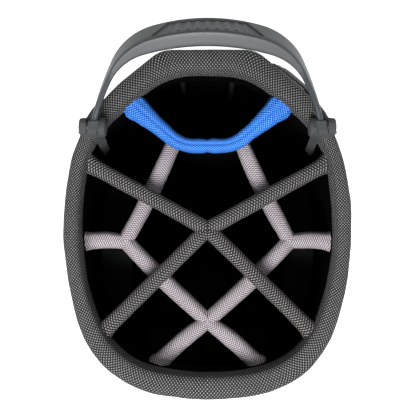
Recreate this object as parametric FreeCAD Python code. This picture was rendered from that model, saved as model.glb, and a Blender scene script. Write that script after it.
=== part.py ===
"""Golf bag with a fourteen-way padded divider top, of the kind that rides on a push cart.

Millimetres, +Z up. The origin is the centre of the rubber sole that the bag stands on.
+Y is the back of the bag, where the carrying handle is, and -Y is the front, where two pockets are.
The divider top lies in its own plane, the rim frame, which slants down towards the front of the bag.
"""

import FreeCAD
import Part
import math
import os

Vector = FreeCAD.Vector

# The rim: a padded ring round the mouth of the bag, measured in the rim frame.
RIM_HALF_WIDTH = 127.0
RIM_FRONT = 153.7
RIM_BACK = 155.0
RIM_SIDE_PAD = 13.5  # thickness of the padded wall at the sides
RIM_END_PAD = 20.0  # and at the front and back
RIM_TOP = 12.0
RIM_BOTTOM = -50.0
RIM_EDGE_SHARE = 0.467  # of the side pad that each rounded top edge takes
RIM_HEM_ROUND = 2.5
RIM_HEIGHT = 865.0  # of the rim frame's origin above the ground
RIM_SLANT = 5.0  # degrees

# Headings, in degrees, at which one stretch of the rim's outline gives way to the next.
FRONT_TURN = 9.7
CORNER_TURN = 70.0
FLANK_TURN = 101.0
DIAGONAL_TURN = 140.0

# Radii of those stretches, outside and inside the pad.
OUTER_RADII = {"corner": 88.0, "side": 254.15, "flank": 300.0, "shoulder": 128.0, "back": 30.0}
INNER_RADII = {"corner": 77.0, "side": 226.84, "flank": 286.0, "shoulder": 80.0, "back": 20.0}

# The moulded frame inside the padding.
FRAME_COVER = 5.0  # padding between the frame's ring and each face of the rim pad
FRAME_TOP = 5.0
FRAME_BOTTOM = -46.0
CORE_WIDTH = 6.0
CORE_HEIGHT = 12.0
POST_RADIUS = 2.5

# The divider bars, and where they meet. Points are in the rim frame.
BAR_WIDTH = 14.0
BAR_HEIGHT = 20.0
UPPER_Z = -8.0  # centre height of the charcoal cross and of the putter yoke
LOWER_Z = -34.0  # centre height of the grey bars
CROSS_CENTRE = (0.0, -3.8)
CROSS_BACK_END = (106.5, 54.5)
CROSS_FRONT_END = (95.0, -97.0)
SIDE_NODE = (76.0, -15.6)  # where three grey bars meet
SIDE_END = (112.0, -16.6)
FRONT_NODE = (0.0, -89.4)  # where four grey bars meet
FRONT_END = (51.5, -135.0)
YOKE_END = (68.2, 108.5)
YOKE_BEND = (24.0, 71.0)
YOKE_BEND_RADIUS = 34.0
YOKE_REST = (31.5, 75.3)  # where a grey bar ends under the yoke
SLEEVE_GAP = 0.2  # between a sleeve's end and the rim pad

# The body tube, its stays and its dividers.
BODY_INSET = 10.0  # body outline inside the rim's outline
BODY_WALL = 3.0
STAY_RADIUS = 2.4
STAY_BACK_X = 24.0
PANEL_THICKNESS = 1.2
PANEL_GAP = 0.3
PANEL_FLOOR_GAP = 1.0

# The base.
SOLE_THICKNESS = 4.0
SOLE_INSET = 12.0
SOLE_GROOVES = 6
SOLE_GROOVE_PITCH = 36.0
SOLE_GROOVE = (170.0, 5.0, 1.5)  # length, width, depth
CUP_TOP = 70.0
CUP_PROUD = 3.0  # how far the cup stands out from the body
CUP_FLOOR = 3.0
CUP_CLEARANCE = 0.3
SOCKET_WALL = 1.6
SOCKET_HEIGHT = 14.0
SOCKET_CLEARANCE = 0.2
DRAIN_RADIUS = 3.0
DRAIN_POINTS = ((30.0, -36.0), (30.0, 72.0))

# The carrying handle: a moulded hoop that tilts on a toggle bar at each end.
HANDLE_TILT = 33.0  # degrees above the rim frame, as it is carried
HANDLE_PIVOT = (85.0, 23.5)  # y and z of the tilt axis in the rim frame
HANDLE_INSET = 25.2  # from the rim's side in to the arms' outer faces, at the axis
HANDLE_HALF_SPAN = RIM_HALF_WIDTH - HANDLE_INSET
HANDLE_REACH = 94.3
ARM_THICKNESS = 5.2
GRIP_THICKNESS = 13.4
ARM_HEADING = 104.0
ARM_RADIUS = 280.0
SHOULDER_HEADINGS = (116.7, 114.6)  # where the arm's outer and inner edges turn in
GRIP_HEADING = 163.4
GRIP_HALF_WIDTH = 15.0
ARM_HALF_WIDTH = 9.0
ARM_TAPER = (20.0, 60.0)
FOOT_TAPER = 14.0
GRIP_RECESS_DEPTH = 1.2
GRIP_RECESS_HALF_LENGTH = 40.0
GRIP_RECESS_HALF_WIDTH = 9.0
TOGGLE_RADIUS = 4.5
TOGGLE_HALF_LENGTH = 12.0
TOGGLE_CLEARANCE = 0.35
LOOP_THICKNESS = 2.5
LOOP_GAP = 0.4
LOOP_HALF_WIDTH = 12.5
LOOP_BOTTOM = -42.0
WRAP_THICKNESS = 3.2
BOOT_HALF_WIDTH = 4.6
BOOT_SLOT_CLEARANCE = 0.4
BOOT_WALL = 1.6
BOOT_LENGTH = 20.0

# Pockets. Each profile is (distance out from the body's face, height), up the outside. A height
# below zero counts down from the rim frame's origin.
POCKET_WALL = 3.0
POCKET_CORNER = 30.0
FRONT_LOWER_PROFILE = ((46.3, 96), (60.3, 112), (50.3, 322), (32.3, 345), (-33.7, 352))
FRONT_UPPER_PROFILE = ((32.3, 366), (45.3, 382), (33.3, -283), (18.3, -265), (-33.7, -259))
SIDE_PROFILE = ((35, 96), (51, 116), (30, -189), (17, -167), (-37, -159))
FRONT_POCKET_HALF_WIDTH = 74.0
SIDE_POCKET_HALF_WIDTH = 62.0
SIDE_POCKET_CENTRE = -15.0
FRONT_ZIP_LENGTH = 84.0
FRONT_ZIP_BELOW_EDGE = 24.0
SIDE_ZIP_ABOVE_EDGE = 56.4
SIDE_ZIP_OFFSET = -12.0
SIDE_ZIP_BELOW_EDGE = 34.0

# Zips.
TAPE_HALF_WIDTH = 13.0
TAPE_THICKNESS = 0.8
TAPE_END = 6.0  # tape beyond the teeth at each end
SLIT_HALF_WIDTH = 5.0
TEETH_HALF_WIDTH = 2.8
TEETH_HEIGHT = 1.6
SLIDER_LENGTH = 11.0
SLIDER_PLATE = 1.6
SLIDER_SIDE = 1.8
SLIDER_CLEARANCE = 0.3
BRIDGE_RADIUS = 1.0
BRIDGE_RISE = 3.2  # bar centre above the slider's plate
BRIDGE_POST = 1.6
PULL_EYE_WALL = 1.2
PULL_EYE_CLEARANCE = 0.3
PULL_HALF_WIDTH = 4.5
PULL_LENGTH = 30.0
PULL_THICKNESS = 2.2

# The shoulder strap, on the back right diagonal, and the towel ring, on the back left one.
STRAP_TOP = RIM_HEIGHT - 95.0
STRAP_BOTTOM = 312.0
MOUNT_HALF_WIDTH = 14.0
MOUNT_HALF_HEIGHT = 20.0
MOUNT_PLATE = 2.4
EYE_OUT = 20.0  # swivel axis, out from the body
EYE_RADIUS = 7.0
EYE_HALF_HEIGHT = 3.0
PIN_RADIUS = 2.2
PIN_CLEARANCE = 0.08
PIN_HEAD_RADIUS = 4.2
PIN_HEAD = 2.0
PIN_END_GAP = 0.4
FRAME_HALF_WIDTH = 23.0
FRAME_CORNER = 4.0
FRAME_ROD = 2.2
FRAME_DROP = 13.0
WEBBING_HALF_WIDTH = 18.0
WEBBING_THICKNESS = 2.4
STRAP_SAG = 58.0
STRAP_PAD_HALF_WIDTH = 29.0
STRAP_PAD_THICKNESS = 13.0
STRAP_PAD_SHARE = 0.56  # of the strap's arc
ADJUSTER_HALF_WIDTH = 22.0
ADJUSTER_THICKNESS = 7.0
ADJUSTER_SHARE = 0.05
ADJUSTER_PLACE = -0.72  # along the lower half of the arc

# The towel ring.
TOWEL_HEIGHT = RIM_HEIGHT - 113.0
TOWEL_ROD = 2.0
TOWEL_HALF_WIDTH = 15.0
TOWEL_DROP = 24.0
TOWEL_OUT = 6.2
TOWEL_CORNER_SWELL = 0.4
TOWEL_LOOP_HALF_WIDTH = 10.0
TOWEL_LOOP_WALL = 1.8
TOWEL_LOOP_CLEARANCE = 0.1

# The lower grab handle, on the flat of the back.
GRAB_LOW = 280.0
GRAB_HIGH = 480.0
GRAB_STAND_OFF = 30.0
GRAB_HALF_WIDTH = 15.0
GRAB_THICKNESS = 7.0
GRAB_FOOT = 24.0
GRAB_SLOPE = 26.0

FAR = 2000.0
PARTS = {}


def keep(name, shape):
    """Files a finished piece under its node name and returns it."""
    PARTS[name] = shape
    return shape


def heading(degrees):
    """Unit vector at a bearing from +X."""
    return Vector(math.cos(math.radians(degrees)), math.sin(math.radians(degrees)), 0)


class Path:
    """A run of tangent lines and arcs in the XY plane, kept as edges."""

    def __init__(self, x, y, turn):
        self.at = Vector(x, y, 0)
        self.turn = turn
        self.edges = []

    def line(self, length):
        end = self.at + heading(self.turn) * length
        self.edges.append(Part.LineSegment(self.at, end).toShape())
        self.at = end
        return self

    def arc(self, radius, turn):
        """Turns left on a radius until it heads along turn."""
        centre = self.at + heading(self.turn + 90) * radius
        middle = centre - heading((self.turn + turn) / 2 + 90) * radius
        end = centre - heading(turn + 90) * radius
        self.edges.append(Part.Arc(self.at, middle, end).toShape())
        self.at = end
        self.turn = turn
        return self

    def mirrored(self):
        """The edges and their mirror image in the YZ plane, as one closed face."""
        twins = [e.mirror(Vector(0, 0, 0), Vector(1, 0, 0)) for e in self.edges]
        edges = Part.__sortEdges__(self.edges + twins)
        return Part.Face(Part.Wire(edges))


def half_outline(half_width, front, back, radii):
    """Right half of the rim's plan outline, or of anything that follows it: round in front, with a
    flat back and a diagonal at the back corner. The front radius and the diagonal's length close it."""
    first, second = (math.sin(math.radians(turn)) for turn in (FRONT_TURN, CORNER_TURN))
    taken = radii["corner"] * (second - first) + radii["side"] * (1 - second)
    path = Path(0, -front, 0).arc((half_width - taken) / first, FRONT_TURN)
    path.arc(radii["corner"], CORNER_TURN).arc(radii["side"], 90)
    path.arc(radii["flank"], FLANK_TURN).arc(radii["shoulder"], DIAGONAL_TURN)
    corner_rise = radii["back"] * (1 + math.cos(math.radians(DIAGONAL_TURN)))
    path.line((back - path.at.y - corner_rise) / math.sin(math.radians(DIAGONAL_TURN)))
    path.arc(radii["back"], 180).line(path.at.x)
    return path


def half_outer(inset=0.0):
    """Right half of the rim's outside edge, moved in by an inset."""
    radii = {name: radius - inset for name, radius in OUTER_RADII.items()}
    return half_outline(RIM_HALF_WIDTH - inset, RIM_FRONT - inset, RIM_BACK - inset, radii)


def outer_outline(inset=0.0):
    return half_outer(inset).mirrored()


def inner_outline(outset=0.0):
    """The edge of the bag's mouth, inside the rim pad, moved out by an outset."""
    radii = {name: radius + outset for name, radius in INNER_RADII.items()}
    return half_outline(
        RIM_HALF_WIDTH - RIM_SIDE_PAD + outset,
        RIM_FRONT - RIM_END_PAD + outset,
        RIM_BACK - RIM_END_PAD + outset,
        radii,
    ).mirrored()


def prism(face, low, high):
    """The upright solid of a plan face between two heights."""
    solid = face.extrude(Vector(0, 0, high - low))
    solid.translate(Vector(0, 0, low))
    return solid


def box(x, y, z):
    """An upright box given as three (low, high) pairs."""
    return Part.makeBox(x[1] - x[0], y[1] - y[0], z[1] - z[0], Vector(x[0], y[0], z[0]))


def rod(start, end, radius):
    """A round rod between two points."""
    along = end - start
    return Part.makeCylinder(radius, along.Length, start, along)


def fuse(first, *others):
    """One solid from several that overlap."""
    return first.fuse(list(others)).removeSplitter()


def in_rim_frame(shape):
    """A copy of a shape drawn in the rim frame, put in its place on the bag. The rim pad's lower
    edge stays over the body's outline as the rim slants."""
    shift = RIM_BOTTOM * math.sin(math.radians(RIM_SLANT))
    placed = shape.copy()
    placed.rotate(Vector(0, 0, 0), Vector(1, 0, 0), RIM_SLANT)
    placed.translate(Vector(0, shift, RIM_HEIGHT))
    return placed


def above_rim_plane(z):
    """Everything above a height in the rim frame."""
    return in_rim_frame(box((-FAR, FAR), (-FAR, FAR), (z, FAR)))


def mirror_x(shape):
    return shape.mirror(Vector(0, 0, 0), Vector(1, 0, 0))


# ---------------------------------------------------------------- the divider top


def rim_ring(grow=0.0):
    """The rim pad's solid form, or that form grown on every side."""
    edge_round = RIM_EDGE_SHARE * RIM_SIDE_PAD
    ring = prism(outer_outline(-grow), RIM_BOTTOM - grow, RIM_TOP + grow).cut(
        prism(inner_outline(-grow), RIM_BOTTOM - 2 * grow - 1, RIM_TOP + grow + 1)
    )
    top = [e for e in ring.Edges if e.BoundBox.ZMin > RIM_TOP + grow - 0.01]
    hem = [e for e in ring.Edges if e.BoundBox.ZMax < RIM_BOTTOM - grow + 0.01]
    return ring.makeFillet(edge_round + grow, top).makeFillet(RIM_HEM_ROUND, hem)


def bar(start, end, z, width, height):
    """A bar with a round top and bottom between two plan points."""
    a, b = Vector(*start, z), Vector(*end, z)
    along = (b - a).normalize()
    across = Vector(-along.y, along.x, 0)
    radius = width / 2
    rise = Vector(0, 0, height / 2 - radius)
    up = Vector(0, 0, radius)
    corners = [a + across * radius + rise, a - across * radius + rise]
    corners += [a - across * radius - rise, a + across * radius - rise]
    edges = [
        Part.Arc(corners[0], a + rise + up, corners[1]).toShape(),
        Part.LineSegment(corners[1], corners[2]).toShape(),
        Part.Arc(corners[2], a - rise - up, corners[3]).toShape(),
        Part.LineSegment(corners[3], corners[0]).toShape(),
    ]
    return Part.Face(Part.Wire(edges)).extrude(b - a)


def yoke_face(width):
    """Plan face of the putter yoke: a band that bends twice. It overruns the rim at both ends."""
    slope = math.degrees(math.atan2(YOKE_END[1] - YOKE_BEND[1], YOKE_END[0] - YOKE_BEND[0]))
    tangent = YOKE_BEND_RADIUS * math.tan(math.radians(slope / 2))
    reach = math.dist(YOKE_END, YOKE_BEND) - tangent + RIM_HALF_WIDTH
    half = width / 2
    edge = {}
    for side in (-half, half):
        path = Path(0, YOKE_BEND[1] + side, 0).line(YOKE_BEND[0] - tangent)
        path.arc(YOKE_BEND_RADIUS - side, slope).line(reach)
        edge[side] = path
    right = edge[-half].edges + [Part.LineSegment(edge[-half].at, edge[half].at).toShape()]
    right += edge[half].edges
    edges = right + [mirror_x(e) for e in right]
    return Part.Face(Part.Wire(Part.__sortEdges__(edges)))


def yoke_solid(width, height):
    """The putter yoke, with its long edges rounded."""
    solid = prism(yoke_face(width), UPPER_Z - height / 2, UPPER_Z + height / 2)
    levels = (UPPER_Z - height / 2, UPPER_Z + height / 2)
    long_edges = [
        e
        for e in solid.Edges
        if e.BoundBox.ZLength < 0.01 and any(abs(e.BoundBox.ZMin - z) < 0.01 for z in levels)
    ]
    return solid.makeFillet(0.4 * width, long_edges)


def beyond(start, end, extra):
    """The point a distance past end on the line from start."""
    along = Vector(end[0] - start[0], end[1] - start[1], 0).normalize()
    return end[0] + along.x * extra, end[1] + along.y * extra


def crossing(a, b, c, d):
    """Plan point where line ab meets line cd."""
    r = (b[0] - a[0], b[1] - a[1])
    s = (d[0] - c[0], d[1] - c[1])
    t = ((c[0] - a[0]) * s[1] - (c[1] - a[1]) * s[0]) / (r[0] * s[1] - r[1] * s[0])
    return a[0] + t * r[0], a[1] + t * r[1]


def flip(point):
    return -point[0], point[1]


def bearing(start, end):
    return math.degrees(math.atan2(end[1] - start[1], end[0] - start[0]))


def mitre(solid, node, end, others):
    """Trims a bar at a node, half way to its neighbours' directions on each side."""
    own = bearing(node, end)
    turns = sorted((bearing(node, o) - own) % 360 for o in others)
    left, right = turns[0] / 2, (turns[-1] - 360) / 2
    hub = Vector(*node, -FAR)
    rays = [hub + heading(own + a) * FAR for a in (right, right / 2, 0, left / 2, left)]
    wedge = Part.Face(Part.makePolygon([hub, *rays, hub])).extrude(Vector(0, 0, 2 * FAR))
    return solid.common(wedge)


# Every bar of the right half: name, plan start, plan end, height, and the ends that it shares its
# start node and its end node with. The left half mirrors it.
RIGHT_BARS = (
    ("cross_sleeve_back", CROSS_CENTRE, CROSS_BACK_END, UPPER_Z),
    ("cross_sleeve_front", CROSS_CENTRE, CROSS_FRONT_END, UPPER_Z),
    ("grey_sleeve_putter", SIDE_NODE, YOKE_REST, LOWER_Z),
    ("grey_sleeve_side", SIDE_NODE, SIDE_END, LOWER_Z),
    ("grey_sleeve_inner", SIDE_NODE, FRONT_NODE, LOWER_Z),
    ("grey_sleeve_front", FRONT_NODE, FRONT_END, LOWER_Z),
)
MEETINGS = {
    CROSS_CENTRE: [
        CROSS_BACK_END, CROSS_FRONT_END, flip(CROSS_BACK_END), flip(CROSS_FRONT_END)
    ],
    SIDE_NODE: [YOKE_REST, SIDE_END, FRONT_NODE],
    FRONT_NODE: [SIDE_NODE, FRONT_END, flip(SIDE_NODE), flip(FRONT_END)],
}
WALL_ENDS = (CROSS_BACK_END, CROSS_FRONT_END, SIDE_END, FRONT_END)


def run_on(start, end):
    """Where a bar stops: at its end, or well past the rim, which trims it, if it ends there."""
    return beyond(start, end, RIM_HALF_WIDTH) if end in WALL_ENDS else end


def posts():
    """The rods that tie an upper bar to each grey bar that passes or ends under it."""
    places = (
        crossing(CROSS_CENTRE, CROSS_BACK_END, SIDE_NODE, YOKE_REST),
        crossing(CROSS_CENTRE, CROSS_FRONT_END, SIDE_NODE, FRONT_NODE),
        YOKE_REST,
    )
    return [
        rod(Vector(side * x, y, LOWER_Z), Vector(side * x, y, UPPER_Z), POST_RADIUS)
        for x, y in places for side in (-1, 1)
    ]


def top_frame():
    """The moulded ring, with a core for every bar and a post wherever two levels cross."""
    ring = prism(outer_outline(FRAME_COVER), FRAME_BOTTOM, FRAME_TOP).cut(
        prism(inner_outline(FRAME_COVER), FRAME_BOTTOM - 1, FRAME_TOP + 1)
    )
    cores = []
    for _, start, end, z in RIGHT_BARS:
        core = bar(start, run_on(start, end), z, CORE_WIDTH, CORE_HEIGHT)
        cores += [core, mirror_x(core)]
    cores += posts()
    half_height = CORE_HEIGHT / 2
    cores.append(prism(yoke_face(CORE_WIDTH), UPPER_Z - half_height, UPPER_Z + half_height))
    inside = prism(outer_outline(FRAME_COVER), FRAME_BOTTOM, FRAME_TOP)
    return fuse(ring, *[core.common(inside) for core in cores])


def sleeves(frame):
    """The padded sleeve on each bar, mitred where bars meet and cut out for the frame."""
    mouth = prism(inner_outline(-SLEEVE_GAP), RIM_BOTTOM, RIM_TOP)
    made = {}
    for name, start, end, z in RIGHT_BARS:
        sleeve = bar(start, run_on(start, end), z, BAR_WIDTH, BAR_HEIGHT).common(mouth)
        for node, far_end in ((start, end), (end, start)):
            if node in MEETINGS:
                others = [o for o in MEETINGS[node] if o != far_end]
                sleeve = mitre(sleeve, node, far_end, others)
        sleeve = sleeve.cut(frame)
        made[name + "_right"] = sleeve
        made[name + "_left"] = mirror_x(sleeve)
    made["putter_yoke_sleeve"] = yoke_solid(BAR_WIDTH, BAR_HEIGHT).common(mouth).cut(frame)
    return made


def divider_top():
    frame = top_frame()
    keep("top_frame", in_rim_frame(frame))
    keep("rim_pad", in_rim_frame(rim_ring().cut(frame)))
    for name, sleeve in sleeves(frame).items():
        keep(name, in_rim_frame(sleeve))


# ---------------------------------------------------------------- the carrying handle


def hoop_face(half_span, reach, arm_radius, shoulder, inset=0.0):
    """Face under one edge of the handle's hoop: a bowed arm, a shoulder and a slow arc on top. The
    shoulder's radius and the top arc's come from the span and the reach."""
    path = Path(half_span - inset, 0, ARM_HEADING).arc(arm_radius - inset, shoulder)
    reach -= inset
    lean, top = math.radians(shoulder), math.radians(GRIP_HEADING)
    a, b = math.sin(lean) - math.sin(top), math.sin(top)
    c, d = math.cos(lean) - math.cos(top), 1 + math.cos(top)
    x, y = path.at.x, reach - path.at.y
    path.arc((x * d - y * b) / (a * d - b * c), GRIP_HEADING)
    path.arc((a * y - c * x) / (a * d - b * c), 180)
    start = Vector(0, 0, 0)
    path.edges.append(Part.LineSegment(start, Vector(half_span - inset, 0, 0)).toShape())
    return path.mirrored()


def hoop_band(inset=0.0, half_width=GRIP_HALF_WIDTH):
    """The band between the handle's outer and inner edges. X is across the bag, Y is the reach from
    the tilt axis, and Z is across the band."""
    outer = hoop_face(HANDLE_HALF_SPAN, HANDLE_REACH, ARM_RADIUS, SHOULDER_HEADINGS[0], inset)
    inner = hoop_face(
        HANDLE_HALF_SPAN - ARM_THICKNESS, HANDLE_REACH - GRIP_THICKNESS,
        ARM_RADIUS - ARM_THICKNESS, SHOULDER_HEADINGS[1],
    )
    return prism(outer, -half_width, half_width).cut(prism(inner, -half_width - 1, half_width + 1))


def side_form(points):
    """A solid across the whole bag from points (reach, half width), the same on both sides."""
    loop = [(y, -z) for y, z in points] + [(y, z) for y, z in reversed(points)]
    wire = Part.makePolygon([Vector(-FAR, y, z) for y, z in loop + loop[:1]])
    return Part.Face(wire).extrude(Vector(2 * FAR, 0, 0))


def toggle_x():
    """Middle of an arm's foot, on the tilt axis."""
    return HANDLE_HALF_SPAN - ARM_THICKNESS / 2


def toggle_rod(radius, half_length, middle=None):
    middle = toggle_x() if middle is None else middle
    return rod(Vector(middle - half_length, 0, 0), Vector(middle + half_length, 0, 0), radius)


def tilted(shape):
    """A shape drawn on the handle's own axes, put at its tilt above the rim frame."""
    placed = shape.copy()
    placed.rotate(Vector(0, 0, 0), Vector(1, 0, 0), HANDLE_TILT)
    placed.translate(Vector(0, *HANDLE_PIVOT))
    return in_rim_frame(placed)


def carrying_handle():
    """The moulded hoop, with a recess in the grip's outer face and a toggle bar at each foot, and
    the fabric boot that is sewn round each foot."""
    form = side_form((
        (0, TOGGLE_RADIUS), (FOOT_TAPER, ARM_HALF_WIDTH), (ARM_TAPER[0], ARM_HALF_WIDTH),
        (ARM_TAPER[1], GRIP_HALF_WIDTH), (FAR, GRIP_HALF_WIDTH),
    ))
    recess = hoop_band(half_width=GRIP_RECESS_HALF_WIDTH)
    recess = recess.cut(hoop_band(GRIP_RECESS_DEPTH, GRIP_RECESS_HALF_WIDTH + 1))
    across = (-GRIP_RECESS_HALF_LENGTH, GRIP_RECESS_HALF_LENGTH)
    window = box(across, (HANDLE_REACH / 2, FAR), (-GRIP_HALF_WIDTH, GRIP_HALF_WIDTH))
    band = hoop_band().common(form).cut(recess.common(window))
    bars = [toggle_rod(TOGGLE_RADIUS, TOGGLE_HALF_LENGTH, side * toggle_x()) for side in (-1, 1)]
    handle = fuse(band, *bars)

    wide = ARM_HALF_WIDTH + BOOT_WALL
    wrap = TOGGLE_RADIUS + TOGGLE_CLEARANCE + WRAP_THICKNESS
    slot = (toggle_x() - BOOT_HALF_WIDTH, toggle_x() + BOOT_HALF_WIDTH)
    lean = BOOT_LENGTH / math.tan(math.radians(ARM_HEADING))
    corners = ((slot[0], 0), (slot[1], 0), (slot[1] + lean, BOOT_LENGTH), (slot[0] + lean, BOOT_LENGTH))
    cheeks = Part.Face(Part.makePolygon([Vector(x, y, 0) for x, y in corners + corners[:1]]))
    cheeks = prism(cheeks, -wide, wide).common(side_form(((0, wrap), (FOOT_TAPER, wide), (FAR, wide))))
    sweep = math.hypot(wrap, HANDLE_PIVOT[1] - RIM_TOP - LOOP_GAP) + LOOP_GAP
    clear = toggle_rod(sweep, FAR).cut(box(slot, (-FAR, FAR), (-FAR, FAR)))
    boot = fuse(toggle_rod(wrap, BOOT_HALF_WIDTH), cheeks.cut(clear)).cut(handle)
    keep("carrying_handle", tilted(handle))
    keep("handle_boot_right", tilted(boot))
    keep("handle_boot_left", mirror_x(PARTS["handle_boot_right"]))


def handle_loops():
    """The webbing saddle over each side of the rim, with the two wraps that hold the toggle bar."""
    shell = rim_ring(LOOP_GAP + LOOP_THICKNESS).cut(rim_ring(LOOP_GAP))
    shoulder = half_outer().edges[4]
    hub = shoulder.Curve.Center
    out = math.degrees(math.atan2(HANDLE_PIVOT[0] - hub.y, toggle_x() - hub.x))
    slab = box((0, FAR), (-LOOP_HALF_WIDTH, LOOP_HALF_WIDTH), (LOOP_BOTTOM, FAR))
    slab.rotate(Vector(0, 0, 0), Vector(0, 0, 1), out)
    slab.translate(hub)
    saddle = shell.common(slab)

    radius = TOGGLE_RADIUS + TOGGLE_CLEARANCE + WRAP_THICKNESS
    pivot = Vector(0, *HANDLE_PIVOT)
    slot = BOOT_HALF_WIDTH + BOOT_SLOT_CLEARANCE
    foot_z = RIM_TOP + LOOP_GAP
    block = prism(outer_outline(-LOOP_GAP), foot_z, HANDLE_PIVOT[1]).cut(
        prism(inner_outline(-LOOP_GAP), foot_z - 1, HANDLE_PIVOT[1] + 1)
    )
    wraps = []
    for side in (-1, 1):
        middle = toggle_x() + side * (slot + TOGGLE_HALF_LENGTH) / 2
        half = (TOGGLE_HALF_LENGTH - slot) / 2
        wrap = toggle_rod(radius, half, middle)
        wrap.translate(pivot)
        reach = (pivot.y - radius, pivot.y + radius)
        web = box((middle - half, middle + half), reach, (foot_z, HANDLE_PIVOT[1])).common(block)
        wraps += [wrap, web]
    bore = toggle_rod(TOGGLE_RADIUS + TOGGLE_CLEARANCE, FAR)
    bore.translate(pivot)
    grow = 2 * LOOP_GAP
    bars = [
        bar(start, run_on(start, end), z, BAR_WIDTH + grow, BAR_HEIGHT + grow)
        for _, start, end, z in RIGHT_BARS if end in WALL_ENDS
    ]
    loop = fuse(saddle, *wraps).cut([bore, *bars])
    keep("handle_loop_right", in_rim_frame(loop))
    keep("handle_loop_left", mirror_x(PARTS["handle_loop_right"]))


# ---------------------------------------------------------------- body, base and dividers


def stay_points():
    """Plan places of the stays, just inside the body's wall: one in front, two at the back."""
    inset = BODY_INSET + BODY_WALL + CUP_CLEARANCE + socket_radius()
    back = RIM_BACK - inset
    return {
        "stay_front": (0.0, inset - RIM_FRONT),
        "stay_back_right": (STAY_BACK_X, back),
        "stay_back_left": (-STAY_BACK_X, back),
    }


def socket_radius():
    return STAY_RADIUS + SOCKET_CLEARANCE + SOCKET_WALL


def body_and_base():
    floor = SOLE_THICKNESS + CUP_FLOOR
    over = above_rim_plane(RIM_BOTTOM)
    wall = BODY_INSET + BODY_WALL
    shell = prism(outer_outline(BODY_INSET), floor, RIM_HEIGHT).cut(
        prism(outer_outline(wall), floor - 1, RIM_HEIGHT + 1)
    )
    drains = [
        rod(Vector(side * x, y, -1), Vector(side * x, y, floor + 1), DRAIN_RADIUS)
        for x, y in DRAIN_POINTS for side in (-1, 1)
    ]
    cup = prism(outer_outline(BODY_INSET - CUP_PROUD), SOLE_THICKNESS, CUP_TOP).cut(
        prism(outer_outline(BODY_INSET - CUP_CLEARANCE), floor, CUP_TOP + 1)
    )
    sockets, bores = [], []
    for name, (x, y) in stay_points().items():
        low = Vector(x, y, floor)
        sockets.append(rod(low, low + Vector(0, 0, SOCKET_HEIGHT), socket_radius()))
        bores.append(rod(low, Vector(x, y, CUP_TOP), STAY_RADIUS + SOCKET_CLEARANCE))
        keep(name, rod(low, Vector(x, y, RIM_HEIGHT), STAY_RADIUS).cut(over))
    length, width, depth = SOLE_GROOVE
    grooves = []
    for i in range(SOLE_GROOVES):
        y = (i - (SOLE_GROOVES - 1) / 2) * SOLE_GROOVE_PITCH
        grooves.append(box((-length / 2, length / 2), (y - width / 2, y + width / 2), (-1, depth)))
    keep("body_shell", shell.cut(over))
    keep("base_cup", fuse(cup, *sockets).cut([*bores, *drains]))
    keep("base_sole", prism(outer_outline(SOLE_INSET), 0, SOLE_THICKNESS).cut([*grooves, *drains]))


def under_bar(point, z):
    """World plan place under a point on the centre line of a bar."""
    slant = math.radians(RIM_SLANT)
    drop = (RIM_BOTTOM - (z - BAR_HEIGHT / 2)) * math.sin(slant)
    return point[0], point[1] * math.cos(slant) + drop


def panel_slab(start, end, z, thickness):
    """An upright slab under a bar, from the base to the bar's mid height."""
    a, b = under_bar(start, z), under_bar(end, z)
    if end in WALL_ENDS:
        b = beyond(a, b, RIM_HALF_WIDTH)
    slab = box((0, math.dist(a, b)), (-thickness / 2, thickness / 2), (0, FAR))
    slab.rotate(Vector(0, 0, 0), Vector(0, 0, 1), bearing(a, b))
    slab.translate(Vector(*a, SOLE_THICKNESS + CUP_FLOOR + PANEL_FLOOR_GAP))
    return slab


def yoke_slab(thickness):
    slab = prism(yoke_face(thickness), SOLE_THICKNESS + CUP_FLOOR + PANEL_FLOOR_GAP, FAR)
    slab.translate(Vector(0, under_bar((0, 0), UPPER_Z)[1], 0))
    return slab


def dividers():
    """Full-length fabric walls under the bars. The grey bars' walls stop at the cross's and the
    yoke's, and every wall is cut out for the bars, the posts and the rim."""
    cavity = prism(outer_outline(BODY_INSET + BODY_WALL + PANEL_GAP), 0, RIM_HEIGHT + RIM_TOP)
    mouth = prism(inner_outline(), RIM_BOTTOM, RIM_TOP)
    rim_block = box((-FAR, FAR), (-FAR, FAR), (RIM_BOTTOM, RIM_TOP)).cut(mouth)
    forms = [rim_block, yoke_solid(BAR_WIDTH, BAR_HEIGHT)]
    for _, start, end, z in RIGHT_BARS:
        form = bar(start, run_on(start, end), z, BAR_WIDTH, BAR_HEIGHT)
        forms += [form, mirror_x(form)]
    forms += posts()
    around = [in_rim_frame(form) for form in forms]
    gap = PANEL_THICKNESS + 2 * PANEL_GAP

    def slabs(z, thickness):
        made = []
        for _, start, end, height in RIGHT_BARS:
            if height == z:
                slab = panel_slab(start, end, z, thickness)
                made += [slab, mirror_x(slab)]
        return made

    def trimmed(parts, z, stops=()):
        wall = fuse(*parts).common(cavity).cut([above_rim_plane(z), *stops])
        return wall.cut(around)

    keep("divider_cross", trimmed(slabs(UPPER_Z, PANEL_THICKNESS), UPPER_Z, [yoke_slab(gap)]))
    keep("divider_putter", trimmed([yoke_slab(PANEL_THICKNESS)], UPPER_Z))
    stops = slabs(UPPER_Z, gap) + [yoke_slab(gap)]
    pieces = trimmed(slabs(LOWER_Z, PANEL_THICKNESS), LOWER_Z, stops).Solids
    for piece in sorted(pieces, key=lambda solid: solid.Volume):
        middle = piece.BoundBox.Center
        side = "right" if middle.x > 0 else "left"
        if abs(middle.x) < PANEL_THICKNESS:
            keep("divider_front", piece)
        elif middle.y > CROSS_CENTRE[1] + BAR_WIDTH:
            keep("divider_link_" + side, piece)
        else:
            keep("divider_side_" + side, piece)


# ---------------------------------------------------------------- pockets and zips


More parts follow.
